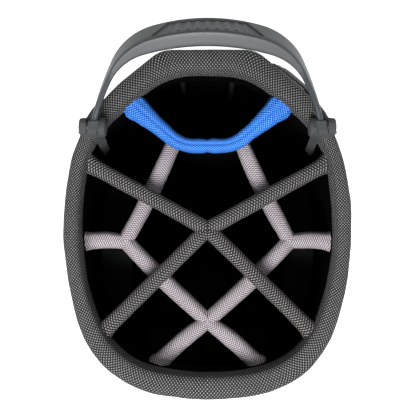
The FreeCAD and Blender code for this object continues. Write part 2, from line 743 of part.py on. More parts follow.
def pocket_form(profile, half_width, inset=0.0):
    """A pocket's form, drawn facing +X: its profile across its width, with round outer corners."""
    face = Part.Face(Part.makePolygon([Vector(d, 0, z) for d, z in profile + profile[:1]]))
    if inset:
        face = face.makeOffset2D(-inset, join=2)
    solid = face.extrude(Vector(0, 2 * (half_width - inset), 0))
    solid.translate(Vector(0, inset - half_width, 0))
    out, wide = max(d for d, _ in profile) - inset, half_width - inset
    path = Path(0, -wide, 0).line(out - (POCKET_CORNER - inset)).arc(POCKET_CORNER - inset, 90)
    path.line(2 * (wide - (POCKET_CORNER - inset))).arc(POCKET_CORNER - inset, 180)
    path.line(out - (POCKET_CORNER - inset))
    path.edges.append(Part.LineSegment(path.at, Vector(0, -wide, 0)).toShape())
    plan = Part.Face(Part.Wire(path.edges))
    return solid.common(prism(plan, 0, FAR))


def pocket_profile(points, face):
    """A profile's points as distance from the bag's axis and height above the ground. The pocket
    starts inside the body, as far in at the bottom as at the top."""
    profile = [(face + out, z if z > 0 else RIM_HEIGHT + z) for out, z in points]
    return [(profile[-1][0], profile[0][1]), *profile]


def zip_placement(profile, upright, below_edge, across=0.0):
    """Where a zip starts on a pocket's outer face, drawn facing +X. The zip runs along its own X,
    and its own Z points out of the face."""
    low, high = Vector(profile[2][0], 0, profile[2][1]), Vector(profile[3][0], 0, profile[3][1])
    up = (high - low).normalize()
    out = Vector(up.z, 0, -up.x)
    along = up * -1 if upright else Vector(0, 1, 0)
    start = high - up * below_edge + Vector(0, across, 0)
    side = out.cross(along)
    matrix = FreeCAD.Matrix(
        along.x, side.x, out.x, start.x,
        along.y, side.y, out.y, start.y,
        along.z, side.z, out.z, start.z,
        0, 0, 0, 1,
    )
    return FreeCAD.Placement(matrix)


def zip_pieces(length):
    """A zip on its own axes: tape with teeth, the slider at its closed end, and the slider's pull."""
    top = TAPE_THICKNESS + TEETH_HEIGHT
    tape = box((-TAPE_END, length + TAPE_END), (-TAPE_HALF_WIDTH, TAPE_HALF_WIDTH), (0, TAPE_THICKNESS))
    teeth = box((0, length), (-TEETH_HALF_WIDTH, TEETH_HALF_WIDTH), (0, top))
    inside = TEETH_HALF_WIDTH + SLIDER_CLEARANCE
    half = inside + SLIDER_SIDE
    plate_top = top + SLIDER_CLEARANCE + SLIDER_PLATE
    start = (0, SLIDER_LENGTH)
    slider = box(start, (-half, half), (TAPE_THICKNESS + SLIDER_CLEARANCE, plate_top)).cut(
        box((-1, SLIDER_LENGTH + 1), (-inside, inside), (0, top + SLIDER_CLEARANCE))
    )
    middle = SLIDER_LENGTH / 2
    bar_z = plate_top + BRIDGE_RISE
    posts = []
    for side in (-1, 1):
        edges = sorted((side * half, side * (half - BRIDGE_POST)))
        depth = (middle - BRIDGE_RADIUS, middle + BRIDGE_RADIUS)
        posts.append(box(depth, edges, (plate_top - 0.5, bar_z + BRIDGE_RADIUS)))
    bridge = rod(Vector(middle, -half, bar_z), Vector(middle, half, bar_z), BRIDGE_RADIUS)
    slider = fuse(slider, bridge, *posts)

    eye = BRIDGE_RADIUS + PULL_EYE_CLEARANCE
    eye_half = half - BRIDGE_POST - PULL_EYE_CLEARANCE
    ring = rod(
        Vector(middle, -eye_half, bar_z), Vector(middle, eye_half, bar_z), eye + PULL_EYE_WALL
    )
    neck_end = middle + eye + PULL_EYE_WALL + 4
    thick = (bar_z - PULL_THICKNESS / 2, bar_z + PULL_THICKNESS / 2)
    neck = box((middle, neck_end), (-eye_half, eye_half), thick)
    tab = box((neck_end - 1, middle + PULL_LENGTH), (-PULL_HALF_WIDTH, PULL_HALF_WIDTH), thick)
    bore = rod(Vector(middle, -FAR, bar_z), Vector(middle, FAR, bar_z), eye)
    return fuse(tape, teeth), slider, fuse(ring, neck, tab).cut(bore)


def pocket(name, profile, half_width, zip_length, zip_place, turn=0.0, shift=0.0):
    """One pocket with its zip, drawn facing +X and then turned and shifted onto the bag."""
    slit = box((0, zip_length), (-SLIT_HALF_WIDTH, SLIT_HALF_WIDTH), (-2 * POCKET_WALL, 1))
    slit.Placement = zip_place
    hollow = pocket_form(profile, half_width, POCKET_WALL)
    shapes = {"": pocket_form(profile, half_width).cut([hollow, slit])}
    for ending, shape in zip(("_zip", "_slider", "_pull"), zip_pieces(zip_length)):
        shape.Placement = zip_place
        shapes[ending] = shape
    for ending, shape in shapes.items():
        shape.rotate(Vector(0, 0, 0), Vector(0, 0, 1), turn)
        shape.translate(Vector(0, shift, 0))
        keep(name + ending, shape)
    keep(name, shapes[""].cut(prism(outer_outline(BODY_INSET), 0, RIM_HEIGHT)))


def pockets():
    for name, points in (
        ("front_lower_pocket", FRONT_LOWER_PROFILE), ("front_upper_pocket", FRONT_UPPER_PROFILE)
    ):
        profile = pocket_profile(points, RIM_FRONT - BODY_INSET)
        place = zip_placement(profile, False, FRONT_ZIP_BELOW_EDGE, -FRONT_ZIP_LENGTH / 2)
        pocket(name, profile, FRONT_POCKET_HALF_WIDTH, FRONT_ZIP_LENGTH, place, turn=-90)
    profile = pocket_profile(SIDE_PROFILE, RIM_HALF_WIDTH - BODY_INSET)
    place = zip_placement(profile, True, SIDE_ZIP_BELOW_EDGE, SIDE_ZIP_OFFSET)
    length = math.dist(profile[2], profile[3]) - SIDE_ZIP_BELOW_EDGE - SIDE_ZIP_ABOVE_EDGE
    pocket(
        "side_pocket_right", profile, SIDE_POCKET_HALF_WIDTH, length, place, shift=SIDE_POCKET_CENTRE
    )
    for ending in ("", "_zip", "_slider", "_pull"):
        keep("side_pocket_left" + ending, mirror_x(PARTS["side_pocket_right" + ending]))


# ---------------------------------------------------------------- strap, towel ring, grab handle


def on_diagonal(shape, height=0.0):
    """A shape drawn with X along the back right diagonal and Y out from the body, put there."""
    middle = half_outer(BODY_INSET).edges[5].CenterOfMass
    placed = shape.copy()
    placed.rotate(Vector(0, 0, 0), Vector(0, 0, 1), DIAGONAL_TURN - 180)
    placed.translate(Vector(middle.x, middle.y, height))
    return placed


def strap_mount():
    """A plate with an eye for the swivel pin."""
    plate = box(
        (-MOUNT_HALF_WIDTH, MOUNT_HALF_WIDTH), (0, MOUNT_PLATE), (-MOUNT_HALF_HEIGHT, MOUNT_HALF_HEIGHT)
    )
    high = (-EYE_HALF_HEIGHT, EYE_HALF_HEIGHT)
    lug = box((-EYE_RADIUS, EYE_RADIUS), (0, EYE_OUT), high)
    axis = Vector(0, EYE_OUT, 0)
    up = Vector(0, 0, EYE_HALF_HEIGHT)
    eye = rod(axis - up, axis + up, EYE_RADIUS)
    return fuse(plate, lug, eye).cut(rod(axis - up * 2, axis + up * 2, PIN_RADIUS + PIN_CLEARANCE))


def rod_frame(half_width, low, high, corner, radius, y):
    """Pieces of an upright ring of round rod with round corners."""
    pieces = []
    for z in (low, high):
        flat = half_width - corner
        pieces.append(rod(Vector(-flat, y, z), Vector(flat, y, z), radius))
    for side in (-1, 1):
        x = side * half_width
        pieces.append(rod(Vector(x, y, low + corner), Vector(x, y, high - corner), radius))
        for z, up in ((low + corner, -1), (high - corner, 1)):
            middle = side * (half_width - corner)
            bend = Part.makeTorus(corner, radius, Vector(middle, y, z), Vector(0, 1, 0))
            across, rise = sorted((middle, middle + side * FAR)), sorted((z, z + up * FAR))
            pieces.append(bend.common(box(across, (-FAR, FAR), rise)))
    return pieces


def swivel():
    """The pin through the eye, and the rod frame under it that holds the webbing."""
    head = EYE_HALF_HEIGHT + PIN_END_GAP
    collar = -head - PIN_HEAD
    high = collar - FRAME_ROD + 0.6
    low = high - FRAME_DROP

    def at(z):
        return Vector(0, EYE_OUT, z)

    return fuse(
        rod(at(high), at(head + PIN_HEAD), PIN_RADIUS),
        rod(at(head), at(head + PIN_HEAD), PIN_HEAD_RADIUS),
        rod(at(collar), at(-head), PIN_HEAD_RADIUS),
        *rod_frame(FRAME_HALF_WIDTH, low, high, FRAME_CORNER, FRAME_ROD, EYE_OUT),
    ), low


class StrapArc:
    """The strap's line in the upright plane through both swivels, as a circle's arc."""

    def __init__(self, drop):
        self.half = (STRAP_TOP - STRAP_BOTTOM) / 2 + drop
        self.middle = (STRAP_TOP + STRAP_BOTTOM) / 2
        self.radius = (self.half**2 + STRAP_SAG**2) / (2 * STRAP_SAG)
        self.centre = EYE_OUT + STRAP_SAG - self.radius
        self.turn = math.degrees(math.asin(self.half / self.radius))

    def band(self, low_share, high_share, thickness, half_width):
        """A stretch of the arc as a band, with X across it."""
        low, high = (math.radians(self.turn * share) for share in (low_share, high_share))

        def at(radius, angle):
            rise = radius * math.sin(angle)
            return Vector(-half_width, self.centre + radius * math.cos(angle), self.middle + rise)

        inner, outer = self.radius - thickness / 2, self.radius + thickness / 2
        mid = (low + high) / 2
        wire = Part.Wire([
            Part.Arc(at(inner, low), at(inner, mid), at(inner, high)).toShape(),
            Part.LineSegment(at(inner, high), at(outer, high)).toShape(),
            Part.Arc(at(outer, high), at(outer, mid), at(outer, low)).toShape(),
            Part.LineSegment(at(outer, low), at(inner, low)).toShape(),
        ])
        return Part.Face(wire).extrude(Vector(2 * half_width, 0, 0))


def shoulder_strap():
    mount = strap_mount()
    keep("strap_mount_top", on_diagonal(mount, STRAP_TOP))
    keep("strap_mount_bottom", on_diagonal(mount, STRAP_BOTTOM))
    pin, drop = swivel()
    keep("strap_swivel_top", on_diagonal(pin, STRAP_TOP))
    keep("strap_swivel_bottom", on_diagonal(pin.mirror(Vector(0, 0, 0), Vector(0, 0, 1)), STRAP_BOTTOM))
    arc = StrapArc(drop)
    wide = (-WEBBING_HALF_WIDTH, WEBBING_HALF_WIDTH)
    pieces, bores = [arc.band(-1, 1, WEBBING_THICKNESS, WEBBING_HALF_WIDTH)], []
    for z in (arc.middle - arc.half, arc.middle + arc.half):
        ends = Vector(wide[0], EYE_OUT, z), Vector(wide[1], EYE_OUT, z)
        pieces.append(rod(*ends, FRAME_ROD + WEBBING_THICKNESS))
        bores.append(rod(*ends, FRAME_ROD))
    webbing = fuse(*pieces).cut(bores)
    pad = arc.band(-STRAP_PAD_SHARE, STRAP_PAD_SHARE, STRAP_PAD_THICKNESS, STRAP_PAD_HALF_WIDTH)
    adjuster = arc.band(
        ADJUSTER_PLACE - ADJUSTER_SHARE / 2, ADJUSTER_PLACE + ADJUSTER_SHARE / 2,
        ADJUSTER_THICKNESS, ADJUSTER_HALF_WIDTH,
    )
    keep("strap_webbing", on_diagonal(webbing))
    keep("strap_pad", on_diagonal(pad.cut(webbing)))
    keep("strap_adjuster", on_diagonal(adjuster.cut(webbing)))


def towel_ring():
    """A D-ring that hangs in a sewn loop on the back left diagonal."""
    axis_y = TOWEL_OUT
    loop_radius = TOWEL_ROD + TOWEL_LOOP_CLEARANCE + TOWEL_LOOP_WALL
    wide = (-TOWEL_LOOP_HALF_WIDTH, TOWEL_LOOP_HALF_WIDTH)
    patch = box(wide, (0, TOWEL_LOOP_WALL), (-loop_radius, 5 * loop_radius))
    tube = rod(Vector(wide[0], axis_y, 0), Vector(wide[1], axis_y, 0), loop_radius)
    web = box(wide, (0, axis_y), (-TOWEL_LOOP_WALL / 2, loop_radius))
    bore = rod(Vector(-FAR, axis_y, 0), Vector(FAR, axis_y, 0), TOWEL_ROD + TOWEL_LOOP_CLEARANCE)
    tab = fuse(patch, tube, web).cut(bore)

    def at(x, z):
        return Vector(x, axis_y, z)

    corner = TOWEL_HALF_WIDTH
    rods = [rod(at(-corner, 0), at(corner, 0), TOWEL_ROD)]
    bow = Part.makeTorus(corner, TOWEL_ROD, at(0, corner - TOWEL_DROP), Vector(0, 1, 0))
    rods.append(bow.common(box((-FAR, FAR), (-FAR, FAR), (-FAR, corner - TOWEL_DROP))))
    for side in (-1, 1):
        rods.append(rod(at(side * corner, corner - TOWEL_DROP), at(side * corner, 0), TOWEL_ROD))
        rods.append(Part.makeSphere(TOWEL_ROD + TOWEL_CORNER_SWELL, at(side * corner, 0)))
    keep("towel_tab", mirror_x(on_diagonal(tab, TOWEL_HEIGHT)))
    keep("towel_ring", mirror_x(on_diagonal(fuse(*rods), TOWEL_HEIGHT)))


def grab_handle():
    """A moulded handle on the flat of the back: two feet on the body and a grip that stands off."""
    y = RIM_BACK - BODY_INSET
    far, thick = y + GRAB_STAND_OFF, GRAB_THICKNESS
    low, high = GRAB_LOW, GRAB_HIGH
    points = [
        (y, low), (y + thick, low), (y + thick, low + GRAB_FOOT),
        (far, low + GRAB_FOOT + GRAB_SLOPE), (far, high - GRAB_FOOT - GRAB_SLOPE),
        (y + thick, high - GRAB_FOOT), (y + thick, high), (y, high), (y, high - GRAB_FOOT - thick / 2),
        (far - thick, high - GRAB_FOOT - GRAB_SLOPE - thick / 2),
        (far - thick, low + GRAB_FOOT + GRAB_SLOPE + thick / 2),
        (y, low + GRAB_FOOT + thick / 2), (y, low),
    ]
    face = Part.Face(Part.makePolygon([Vector(-GRAB_HALF_WIDTH, d, z) for d, z in points]))
    keep("lower_grab_handle", face.extrude(Vector(2 * GRAB_HALF_WIDTH, 0, 0)))


def main():
    divider_top()
    carrying_handle()
    handle_loops()
    body_and_base()
    dividers()
    pockets()
    shoulder_strap()
    towel_ring()
    grab_handle()
    os.makedirs("parts", exist_ok=True)
    for name, shape in PARTS.items():
        shape.exportStep("parts/" + name + ".step")


main()
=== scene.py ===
"""Golf cart bag with a fourteen-way padded divider top: its soft goods, finishes, light and camera.

Sizes are in millimetres until a mesh is made. The rim frame is the divider top's own plane, which
slants down towards the front of the bag.
"""

import logging
import math
from dataclasses import dataclass, field
from enum import Enum

import bmesh
import bpy
import numpy as np
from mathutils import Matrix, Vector


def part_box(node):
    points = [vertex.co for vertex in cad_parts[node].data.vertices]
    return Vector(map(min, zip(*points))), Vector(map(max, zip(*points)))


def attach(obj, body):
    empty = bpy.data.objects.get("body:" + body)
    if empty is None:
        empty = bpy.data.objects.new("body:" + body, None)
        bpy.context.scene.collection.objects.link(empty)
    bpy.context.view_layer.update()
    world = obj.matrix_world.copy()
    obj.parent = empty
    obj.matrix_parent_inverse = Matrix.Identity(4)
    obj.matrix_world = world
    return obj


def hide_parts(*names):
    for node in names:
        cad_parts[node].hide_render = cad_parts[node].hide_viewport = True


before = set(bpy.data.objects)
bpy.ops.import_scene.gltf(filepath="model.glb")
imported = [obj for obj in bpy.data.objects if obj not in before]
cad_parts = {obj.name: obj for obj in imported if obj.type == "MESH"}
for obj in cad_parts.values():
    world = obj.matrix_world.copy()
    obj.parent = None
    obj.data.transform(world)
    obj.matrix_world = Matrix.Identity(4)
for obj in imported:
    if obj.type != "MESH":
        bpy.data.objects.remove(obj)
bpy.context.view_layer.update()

log = logging.getLogger("golf_bag")
MM = 0.001
CLOTH_MAP = "cloth"
BODY_INSET = 10.0
SIDES = {1: "right", -1: "left"}
FLIP = np.array([-1.0, 1.0])
Plan = tuple[float, float]
Colour = tuple[float, float, float]


# ---------------------------------------------------------------- shapes


@dataclass(frozen=True)
class RimFrame:
    """The slanted plane of the divider top."""

    slant: float = math.radians(5.0)
    height: float = 865.0
    bottom: float = -50.0

    def world(self, points: np.ndarray) -> np.ndarray:
        """Carries rim frame points into the bag's frame.

        Args:
            points: Array whose last axis is x, y, z in the rim frame.

        Returns:
            The same array in the bag's frame.
        """
        c, s = math.cos(self.slant), math.sin(self.slant)
        x, y, z = points[..., 0], points[..., 1], points[..., 2]
        return np.stack([x, y * c - z * s + self.bottom * s, y * s + z * c + self.height], -1)


RIM = RimFrame()


class Pen:
    """Draws a plan line as tangent arcs and straights, turning anticlockwise."""

    def __init__(self, at: Plan, turn: float) -> None:
        """Starts at a place with a heading in radians."""
        self.at, self.turn = np.array(at), turn
        self.points, self.headings = [], []

    def arc(self, radius: float, to: float, count: int) -> None:
        """Draws an arc, leaving out its last point.

        Args:
            radius: The arc's radius.
            to: Heading at its end, in radians.
            count: How many points.
        """
        steps = self.turn + (to - self.turn) * np.arange(count) / count
        hub = self.at + radius * np.array([-math.sin(self.turn), math.cos(self.turn)])
        self.points.append(hub + radius * np.stack([np.sin(steps), -np.cos(steps)], -1))
        self.headings.append(steps)
        self.turn = to
        self.at = hub + radius * np.array([math.sin(to), -math.cos(to)])

    def line(self, length: float, count: int) -> None:
        """Draws a straight, leaving out its last point.

        Args:
            length: The straight's length.
            count: How many points.
        """
        along = np.array([math.cos(self.turn), math.sin(self.turn)])
        self.points.append(self.at + along * (length * np.arange(count) / count)[:, None])
        self.headings.append(np.full(count, self.turn))
        self.at = self.at + along * length


@dataclass(frozen=True)
class Outline:
    """A plan outline made of tangent stretches: round in front, with a flat back and a diagonal at
    each back corner."""

    half_width: float
    front: float
    back: float
    radii: tuple[float, float, float, float, float]
    turns: tuple[float, float, float, float] = (9.7, 70.0, 101.0, 140.0)
    counts: tuple[int, ...] = (30, 64, 60, 40, 58, 26, 18, 22)

    def inset(self, by: float) -> "Outline":
        """The same outline moved in by a distance."""
        radii = tuple(r - by for r in self.radii)
        return Outline(self.half_width - by, self.front - by, self.back - by, radii, self.turns, self.counts)

    def half(self) -> tuple[np.ndarray, np.ndarray]:
        """Samples the right half from the middle of the front to the middle of the back.

        Returns:
            The plan points and the headings, in radians, with equal counts on every outline, so that
            two outlines pair up point by point.
        """
        pen = Pen((0.0, -self.front), 0.0)
        front, corner, flank, shoulder, back = self.radii
        t0, t1, t2, t3 = (math.radians(turn) for turn in self.turns)
        pen.arc(front, t0, self.counts[0])
        pen.arc(corner, t1, self.counts[1])
        pen.arc((self.half_width - pen.at[0]) / (1 - math.sin(t1)), math.radians(90.0), self.counts[2])
        pen.arc(flank, t2, self.counts[3])
        pen.arc(shoulder, t3, self.counts[4])
        rise = back * (1 + math.cos(t3))
        pen.line((self.back - pen.at[1] - rise) / math.sin(t3), self.counts[5])
        pen.arc(back, math.radians(180.0), self.counts[6])
        pen.line(pen.at[0], self.counts[7])
        return np.concatenate(pen.points), np.concatenate(pen.headings)

    def loop(self) -> tuple[np.ndarray, np.ndarray]:
        """The whole outline, anticlockwise from the middle of the front.

        Returns:
            Points and outward normals, each (n, 2).
        """
        pts, turn = self.half()
        out = np.stack([np.sin(turn), -np.cos(turn)], -1)
        top = np.array([[0.0, self.back]])
        points = np.concatenate([pts, top, (pts[1:] * FLIP)[::-1]])
        normals = np.concatenate([out, [[0.0, 1.0]], (out[1:] * FLIP)[::-1]])
        return points, normals


OUTER = Outline(127.0, 153.7, 155.0, (260.0, 88.0, 300.0, 128.0, 30.0))
MOUTH = Outline(113.5, 133.7, 135.0, (240.0, 77.0, 286.0, 80.0, 66.0))


def ripple(points: np.ndarray, seed: int, wavelength: float, waves: int = 9) -> np.ndarray:
    """Smooth seeded unevenness over space.

    Args:
        points: Array whose last axis is a place.
        seed: Fixes the pattern.
        wavelength: Rough size of its hills.
        waves: How many waves are added up.

    Returns:
        Values between about -1 and 1, one for each place.
    """
    rng = np.random.default_rng(seed)
    total = np.zeros(points.shape[:-1])
    for _ in range(waves):
        way = rng.normal(size=points.shape[-1])
        way *= 2 * math.pi / (wavelength * rng.uniform(0.6, 1.6) * np.linalg.norm(way))
        total += np.sin(points @ way + rng.uniform(0, 2 * math.pi))
    return total / math.sqrt(waves) / 1.4


def bump(values: np.ndarray, centre: float, width: float) -> np.ndarray:
    """A soft bump of height one round a value."""
    return np.exp(-(((values - centre) / width) ** 2))


def ease(values: np.ndarray, low: float, high: float) -> np.ndarray:
    """Rises smoothly from 0 at low to 1 at high."""
    t = np.clip((values - low) / (high - low), 0, 1)
    return t * t * (3 - 2 * t)


def unit(ways: np.ndarray) -> np.ndarray:
    """Directions scaled to length one along the last axis."""
    return ways / np.maximum(np.linalg.norm(ways, axis=-1, keepdims=True), 1e-9)


def steps_of(points: np.ndarray, axis: int, closed: bool) -> np.ndarray:
    """Steps from point to point along one axis.

    Args:
        points: Places in the last axis.
        axis: Axis to step along.
        closed: Whether the points close on themselves.

    Returns:
        One centred step for each point.
    """
    if closed:
        return np.roll(points, -1, axis) - np.roll(points, 1, axis)
    return np.gradient(points, axis=axis)


def left_of(line: np.ndarray) -> np.ndarray:
    """Unit ways to the left of an open plan line, one for each of its points."""
    along = unit(steps_of(line, 0, False))
    return np.stack([-along[:, 1], along[:, 0]], -1)


def walked(line: np.ndarray) -> np.ndarray:
    """Length run along a line at each of its points."""
    return np.concatenate([[0], np.cumsum(np.linalg.norm(np.diff(line, axis=0), axis=1))])


def raised(plan: np.ndarray, z: np.ndarray) -> np.ndarray:
    """Sets plan points at heights.

    Args:
        plan: (n, 2), or (n, m, 2).
        z: Heights that spread over (n, m).

    Returns:
        (n, m, 3) points.
    """
    plan = plan[:, None] if plan.ndim == 2 else plan
    shape = np.broadcast_shapes(plan.shape[:-1], z.shape)
    return np.concatenate([np.broadcast_to(plan, (*shape, 2)), np.broadcast_to(z, shape)[..., None]], -1)


def swept(line: np.ndarray, section: np.ndarray, across: np.ndarray, up: np.ndarray) -> np.ndarray:
    """Carries a section along a line.

    Args:
        line: (n, 3).
        section: (m, 2) offsets across and up.
        across: The way across, (3,) or (n, 1, 3).
        up: The way up, likewise.

    Returns:
        (n, m, 3) points.
    """
    return line[:, None] + section[:, :1] * across + section[:, 1:] * up


def lengths(points: np.ndarray, axis: int, closed: bool) -> np.ndarray:
    """Mean running length along one axis of a grid of points.

    Args:
        points: (rows, columns, 3).
        axis: 0 along the rows and 1 along the columns.
        closed: Whether the axis closes on itself.

    Returns:
        Lengths from zero, with one more for the way back to the start where it closes.
    """
    following = np.roll(points, -1, axis=axis)
    step = np.linalg.norm(following - points, axis=-1).mean(axis=1 - axis)
    run = np.concatenate([[0.0], np.cumsum(step)])
    return run if closed else run[:-1]


def lean_of(points: np.ndarray, closed: bool) -> np.ndarray:
    """How far each point of a grid lies ahead of the middle of its row, along the grid's line.

    Args:
        points: (rows, columns, 3).
        closed: Whether the rows close on themselves.

    Returns:
        (rows, columns) distances.
    """
    middle = points.mean(axis=1)
    along = unit(steps_of(middle, 0, closed))
    return ((points - middle[:, None]) * along[:, None]).sum(-1)


def outward_of(points: np.ndarray, closed: tuple[bool, bool]) -> np.ndarray:
    """Unit normals of a grid of points, whichever way its sides run.

    Args:
        points: (rows, columns, 3).
        closed: Whether the rows and the columns close on themselves.

    Returns:
        (rows, columns, 3), along the cross product of the row and the column steps.
    """
    return unit(np.cross(*(steps_of(points, axis, loops) for axis, loops in enumerate(closed))))


def new_object(name: str, mesh: bpy.types.Mesh) -> bpy.types.Object:
    """Links a mesh into the scene at the origin.

    Args:
        name: Object name.
        mesh: Its mesh.

    Returns:
        The new object.
    """
    made = bpy.data.objects.new(name, mesh)
    bpy.context.scene.collection.objects.link(made)
    return made


def lay_grid(
    name: str,
    points: np.ndarray,
    closed: tuple[bool, bool] = (False, True),
    caps: bool = True,
    crown: float | None = None,
    sharp: float | None = None,
) -> bpy.types.Object:
    """Makes a skin from a grid of points, with its cloth map in metres.

    Args:
        name: Object name.
        points: (rows, columns, 3) in millimetres, in the bag's frame.
        closed: Whether the rows and the columns close on themselves.
        caps: Whether open ends of the rows get a fan to their middle.
        crown: Column where the map's second coordinate is zero.
        sharp: Angle in degrees past which an edge stays crisp.

    Returns:
        The new object.
    """
    rows, cols = points.shape[:2]
    run = lengths(points, 0, closed[0]) * MM
    u = run[:rows, None] + lean_of(points, closed[0]) * MM
    v = lengths(points, 1, closed[1]) * MM
    if crown is not None:
        v = v - np.interp(crown, np.arange(len(v)), v)
    verts = (points.reshape(-1, 3) * MM).tolist()
    faces, maps = [], []
    for i in range(rows if closed[0] else rows - 1):
        k = (i + 1) % rows
        past = run[-1] if k == 0 else 0.0
        for j in range(cols if closed[1] else cols - 1):
            m = (j + 1) % cols
            faces.append((i * cols + j, k * cols + j, k * cols + m, i * cols + m))
            maps += [
                (u[i, j], v[j]), (u[k, j] + past, v[j]), (u[k, m] + past, v[j + 1]), (u[i, m], v[j + 1])
            ]
    if caps and not closed[0]:
        for i in (0, rows - 1):
            middle = len(verts)
            verts.append((points[i].mean(axis=0) * MM).tolist())
            for j in range(cols):
                m = (j + 1) % cols
                faces.append((i * cols + j, i * cols + m, middle))
                maps += [(u[i, j], v[j]), (u[i, m], v[j + 1]), (u[i, j], v[j])]
    mesh = bpy.data.meshes.new(name)
    mesh.from_pydata(verts, [], faces)
    layer = mesh.uv_layers.new(name=CLOTH_MAP)
    layer.data.foreach_set("uv", np.array(maps, dtype=np.float32).ravel())
    work = bmesh.new()
    work.from_mesh(mesh)
    bmesh.ops.recalc_face_normals(work, faces=work.faces)
    work.to_mesh(mesh)
    work.free()
    mesh.shade_smooth()
    if sharp is not None:
        mesh.set_sharp_from_angle(angle=math.radians(sharp))
    return new_object(name, mesh)


def ring(count: int, half_width: float, half_height: float, power: float) -> np.ndarray:
    """A rounded section, anticlockwise from its right side.

    Args:
        count: How many points.
        half_width: Reach sideways.
        half_height: Reach up and down.
        power: 2 is an ellipse, and more is squarer.

    Returns:
        (count, 2) offsets sideways and up.
    """
    t = 2 * math.pi * np.arange(count) / count
    c, s = np.cos(t), np.sin(t)
    x = np.sign(c) * np.abs(c) ** (2 / power)
    y = np.sign(s) * np.abs(s) ** (2 / power)
    return np.stack([x * half_width, y * half_height], -1)


def merged(name: str, parts: list[bpy.types.Object]) -> bpy.types.Object:
    """Joins several skins into one object.

    Args:
        name: Name of the new object.
        parts: The skins, which are taken away.

    Returns:
        The new object.
    """
    mesh = bpy.data.meshes.new(name)
    work = bmesh.new()
    for part in parts:
        work.from_mesh(part.data)
    work.to_mesh(mesh)
    work.free()
    mesh.shade_smooth()
    for part in parts:
        bpy.data.objects.remove(part)
    return new_object(name, mesh)


# ---------------------------------------------------------------- finishes


class Graph:
    """A node tree with short ways to add and join nodes."""

    def __init__(self, tree: bpy.types.NodeTree) -> None:
        """Wraps a tree and clears it."""
        self.tree = tree
        tree.nodes.clear()

    def join(self, value: object, socket: bpy.types.NodeSocket) -> None:
        """Feeds an input.

        Args:
            value: An output to link, or a value to set.
            socket: The input.
        """
        if isinstance(value, bpy.types.NodeSocket):
            self.tree.links.new(value, socket)
        else:
            socket.default_value = value

    def add(self, kind: str, **settings: object) -> bpy.types.Node:
        """Adds a node.

        Args:
            kind: The node's type.
            settings: Properties by name, then inputs by their name or number after in_.

        Returns:
            The node.
        """
        node = self.tree.nodes.new(kind)
        for key, value in settings.items():
            if not key.startswith("in_"):
                setattr(node, key, value)
        for key, value in settings.items():
            if key.startswith("in_"):
                label = key[3:].replace("_", " ")
                self.join(value, node.inputs[int(label) if label.isdigit() else label])
        return node

    def math(self, operation: str, *values: object) -> bpy.types.NodeSocket:
        """Adds a math node.

        Args:
            operation: What it does.
            values: Numbers or outputs, in the order of its inputs.

        Returns:
            Its result.
        """
        node = self.add("ShaderNodeMath", operation=operation)
        for socket, value in zip(node.inputs, values):
            self.join(value, socket)
        return node.outputs[0]

    def mix(self, factor: object, a: object, b: object) -> bpy.types.NodeSocket:
        """Mixes two colours.

        Args:
            factor: Share of the second.
            a: First colour, or an output.
            b: Second colour, or an output.

        Returns:
            The result.
        """
        node = self.add("ShaderNodeMix", data_type="RGBA")
        for index, value in ((0, factor), (6, a), (7, b)):
            self.join((*value, 1.0) if isinstance(value, tuple) else value, node.inputs[index])
        return node.outputs[2]

    def rise(self, value: bpy.types.NodeSocket, low: float, high: float, soft: bool) -> bpy.types.NodeSocket:
        """Maps a value from low to high onto 0 to 1.

        Args:
            value: The value.
            low: Where the result is 0.
            high: Where it is 1.
            soft: Whether it eases in and out.

        Returns:
            The result.
        """
        kind = "SMOOTHSTEP" if soft else "LINEAR"
        node = self.add(
            "ShaderNodeMapRange", interpolation_type=kind, in_Value=value, in_From_Min=low, in_From_Max=high
        )
        return node.outputs[0]


def shader_group(name: str, inputs: dict[str, object], outputs: dict[str, str]) -> tuple:
    """Starts a shader node group.

    Args:
        name: The group's name.
        inputs: Name to default value; a tuple makes a vector socket.
        outputs: Name to socket type.

    Returns:
        The group, its graph, its input node and its output node.
    """
    group = bpy.data.node_groups.new(name, "ShaderNodeTree")
    for label, value in inputs.items():
        kind = "NodeSocketVector" if isinstance(value, tuple) else "NodeSocketFloat"
        socket = group.interface.new_socket(name=label, in_out="INPUT", socket_type=kind)
        socket.default_value = value
    for label, kind in outputs.items():
        group.interface.new_socket(name=label, in_out="OUTPUT", socket_type=kind)
    graph = Graph(group)
    return group, graph, graph.add("NodeGroupInput"), graph.add("NodeGroupOutput")


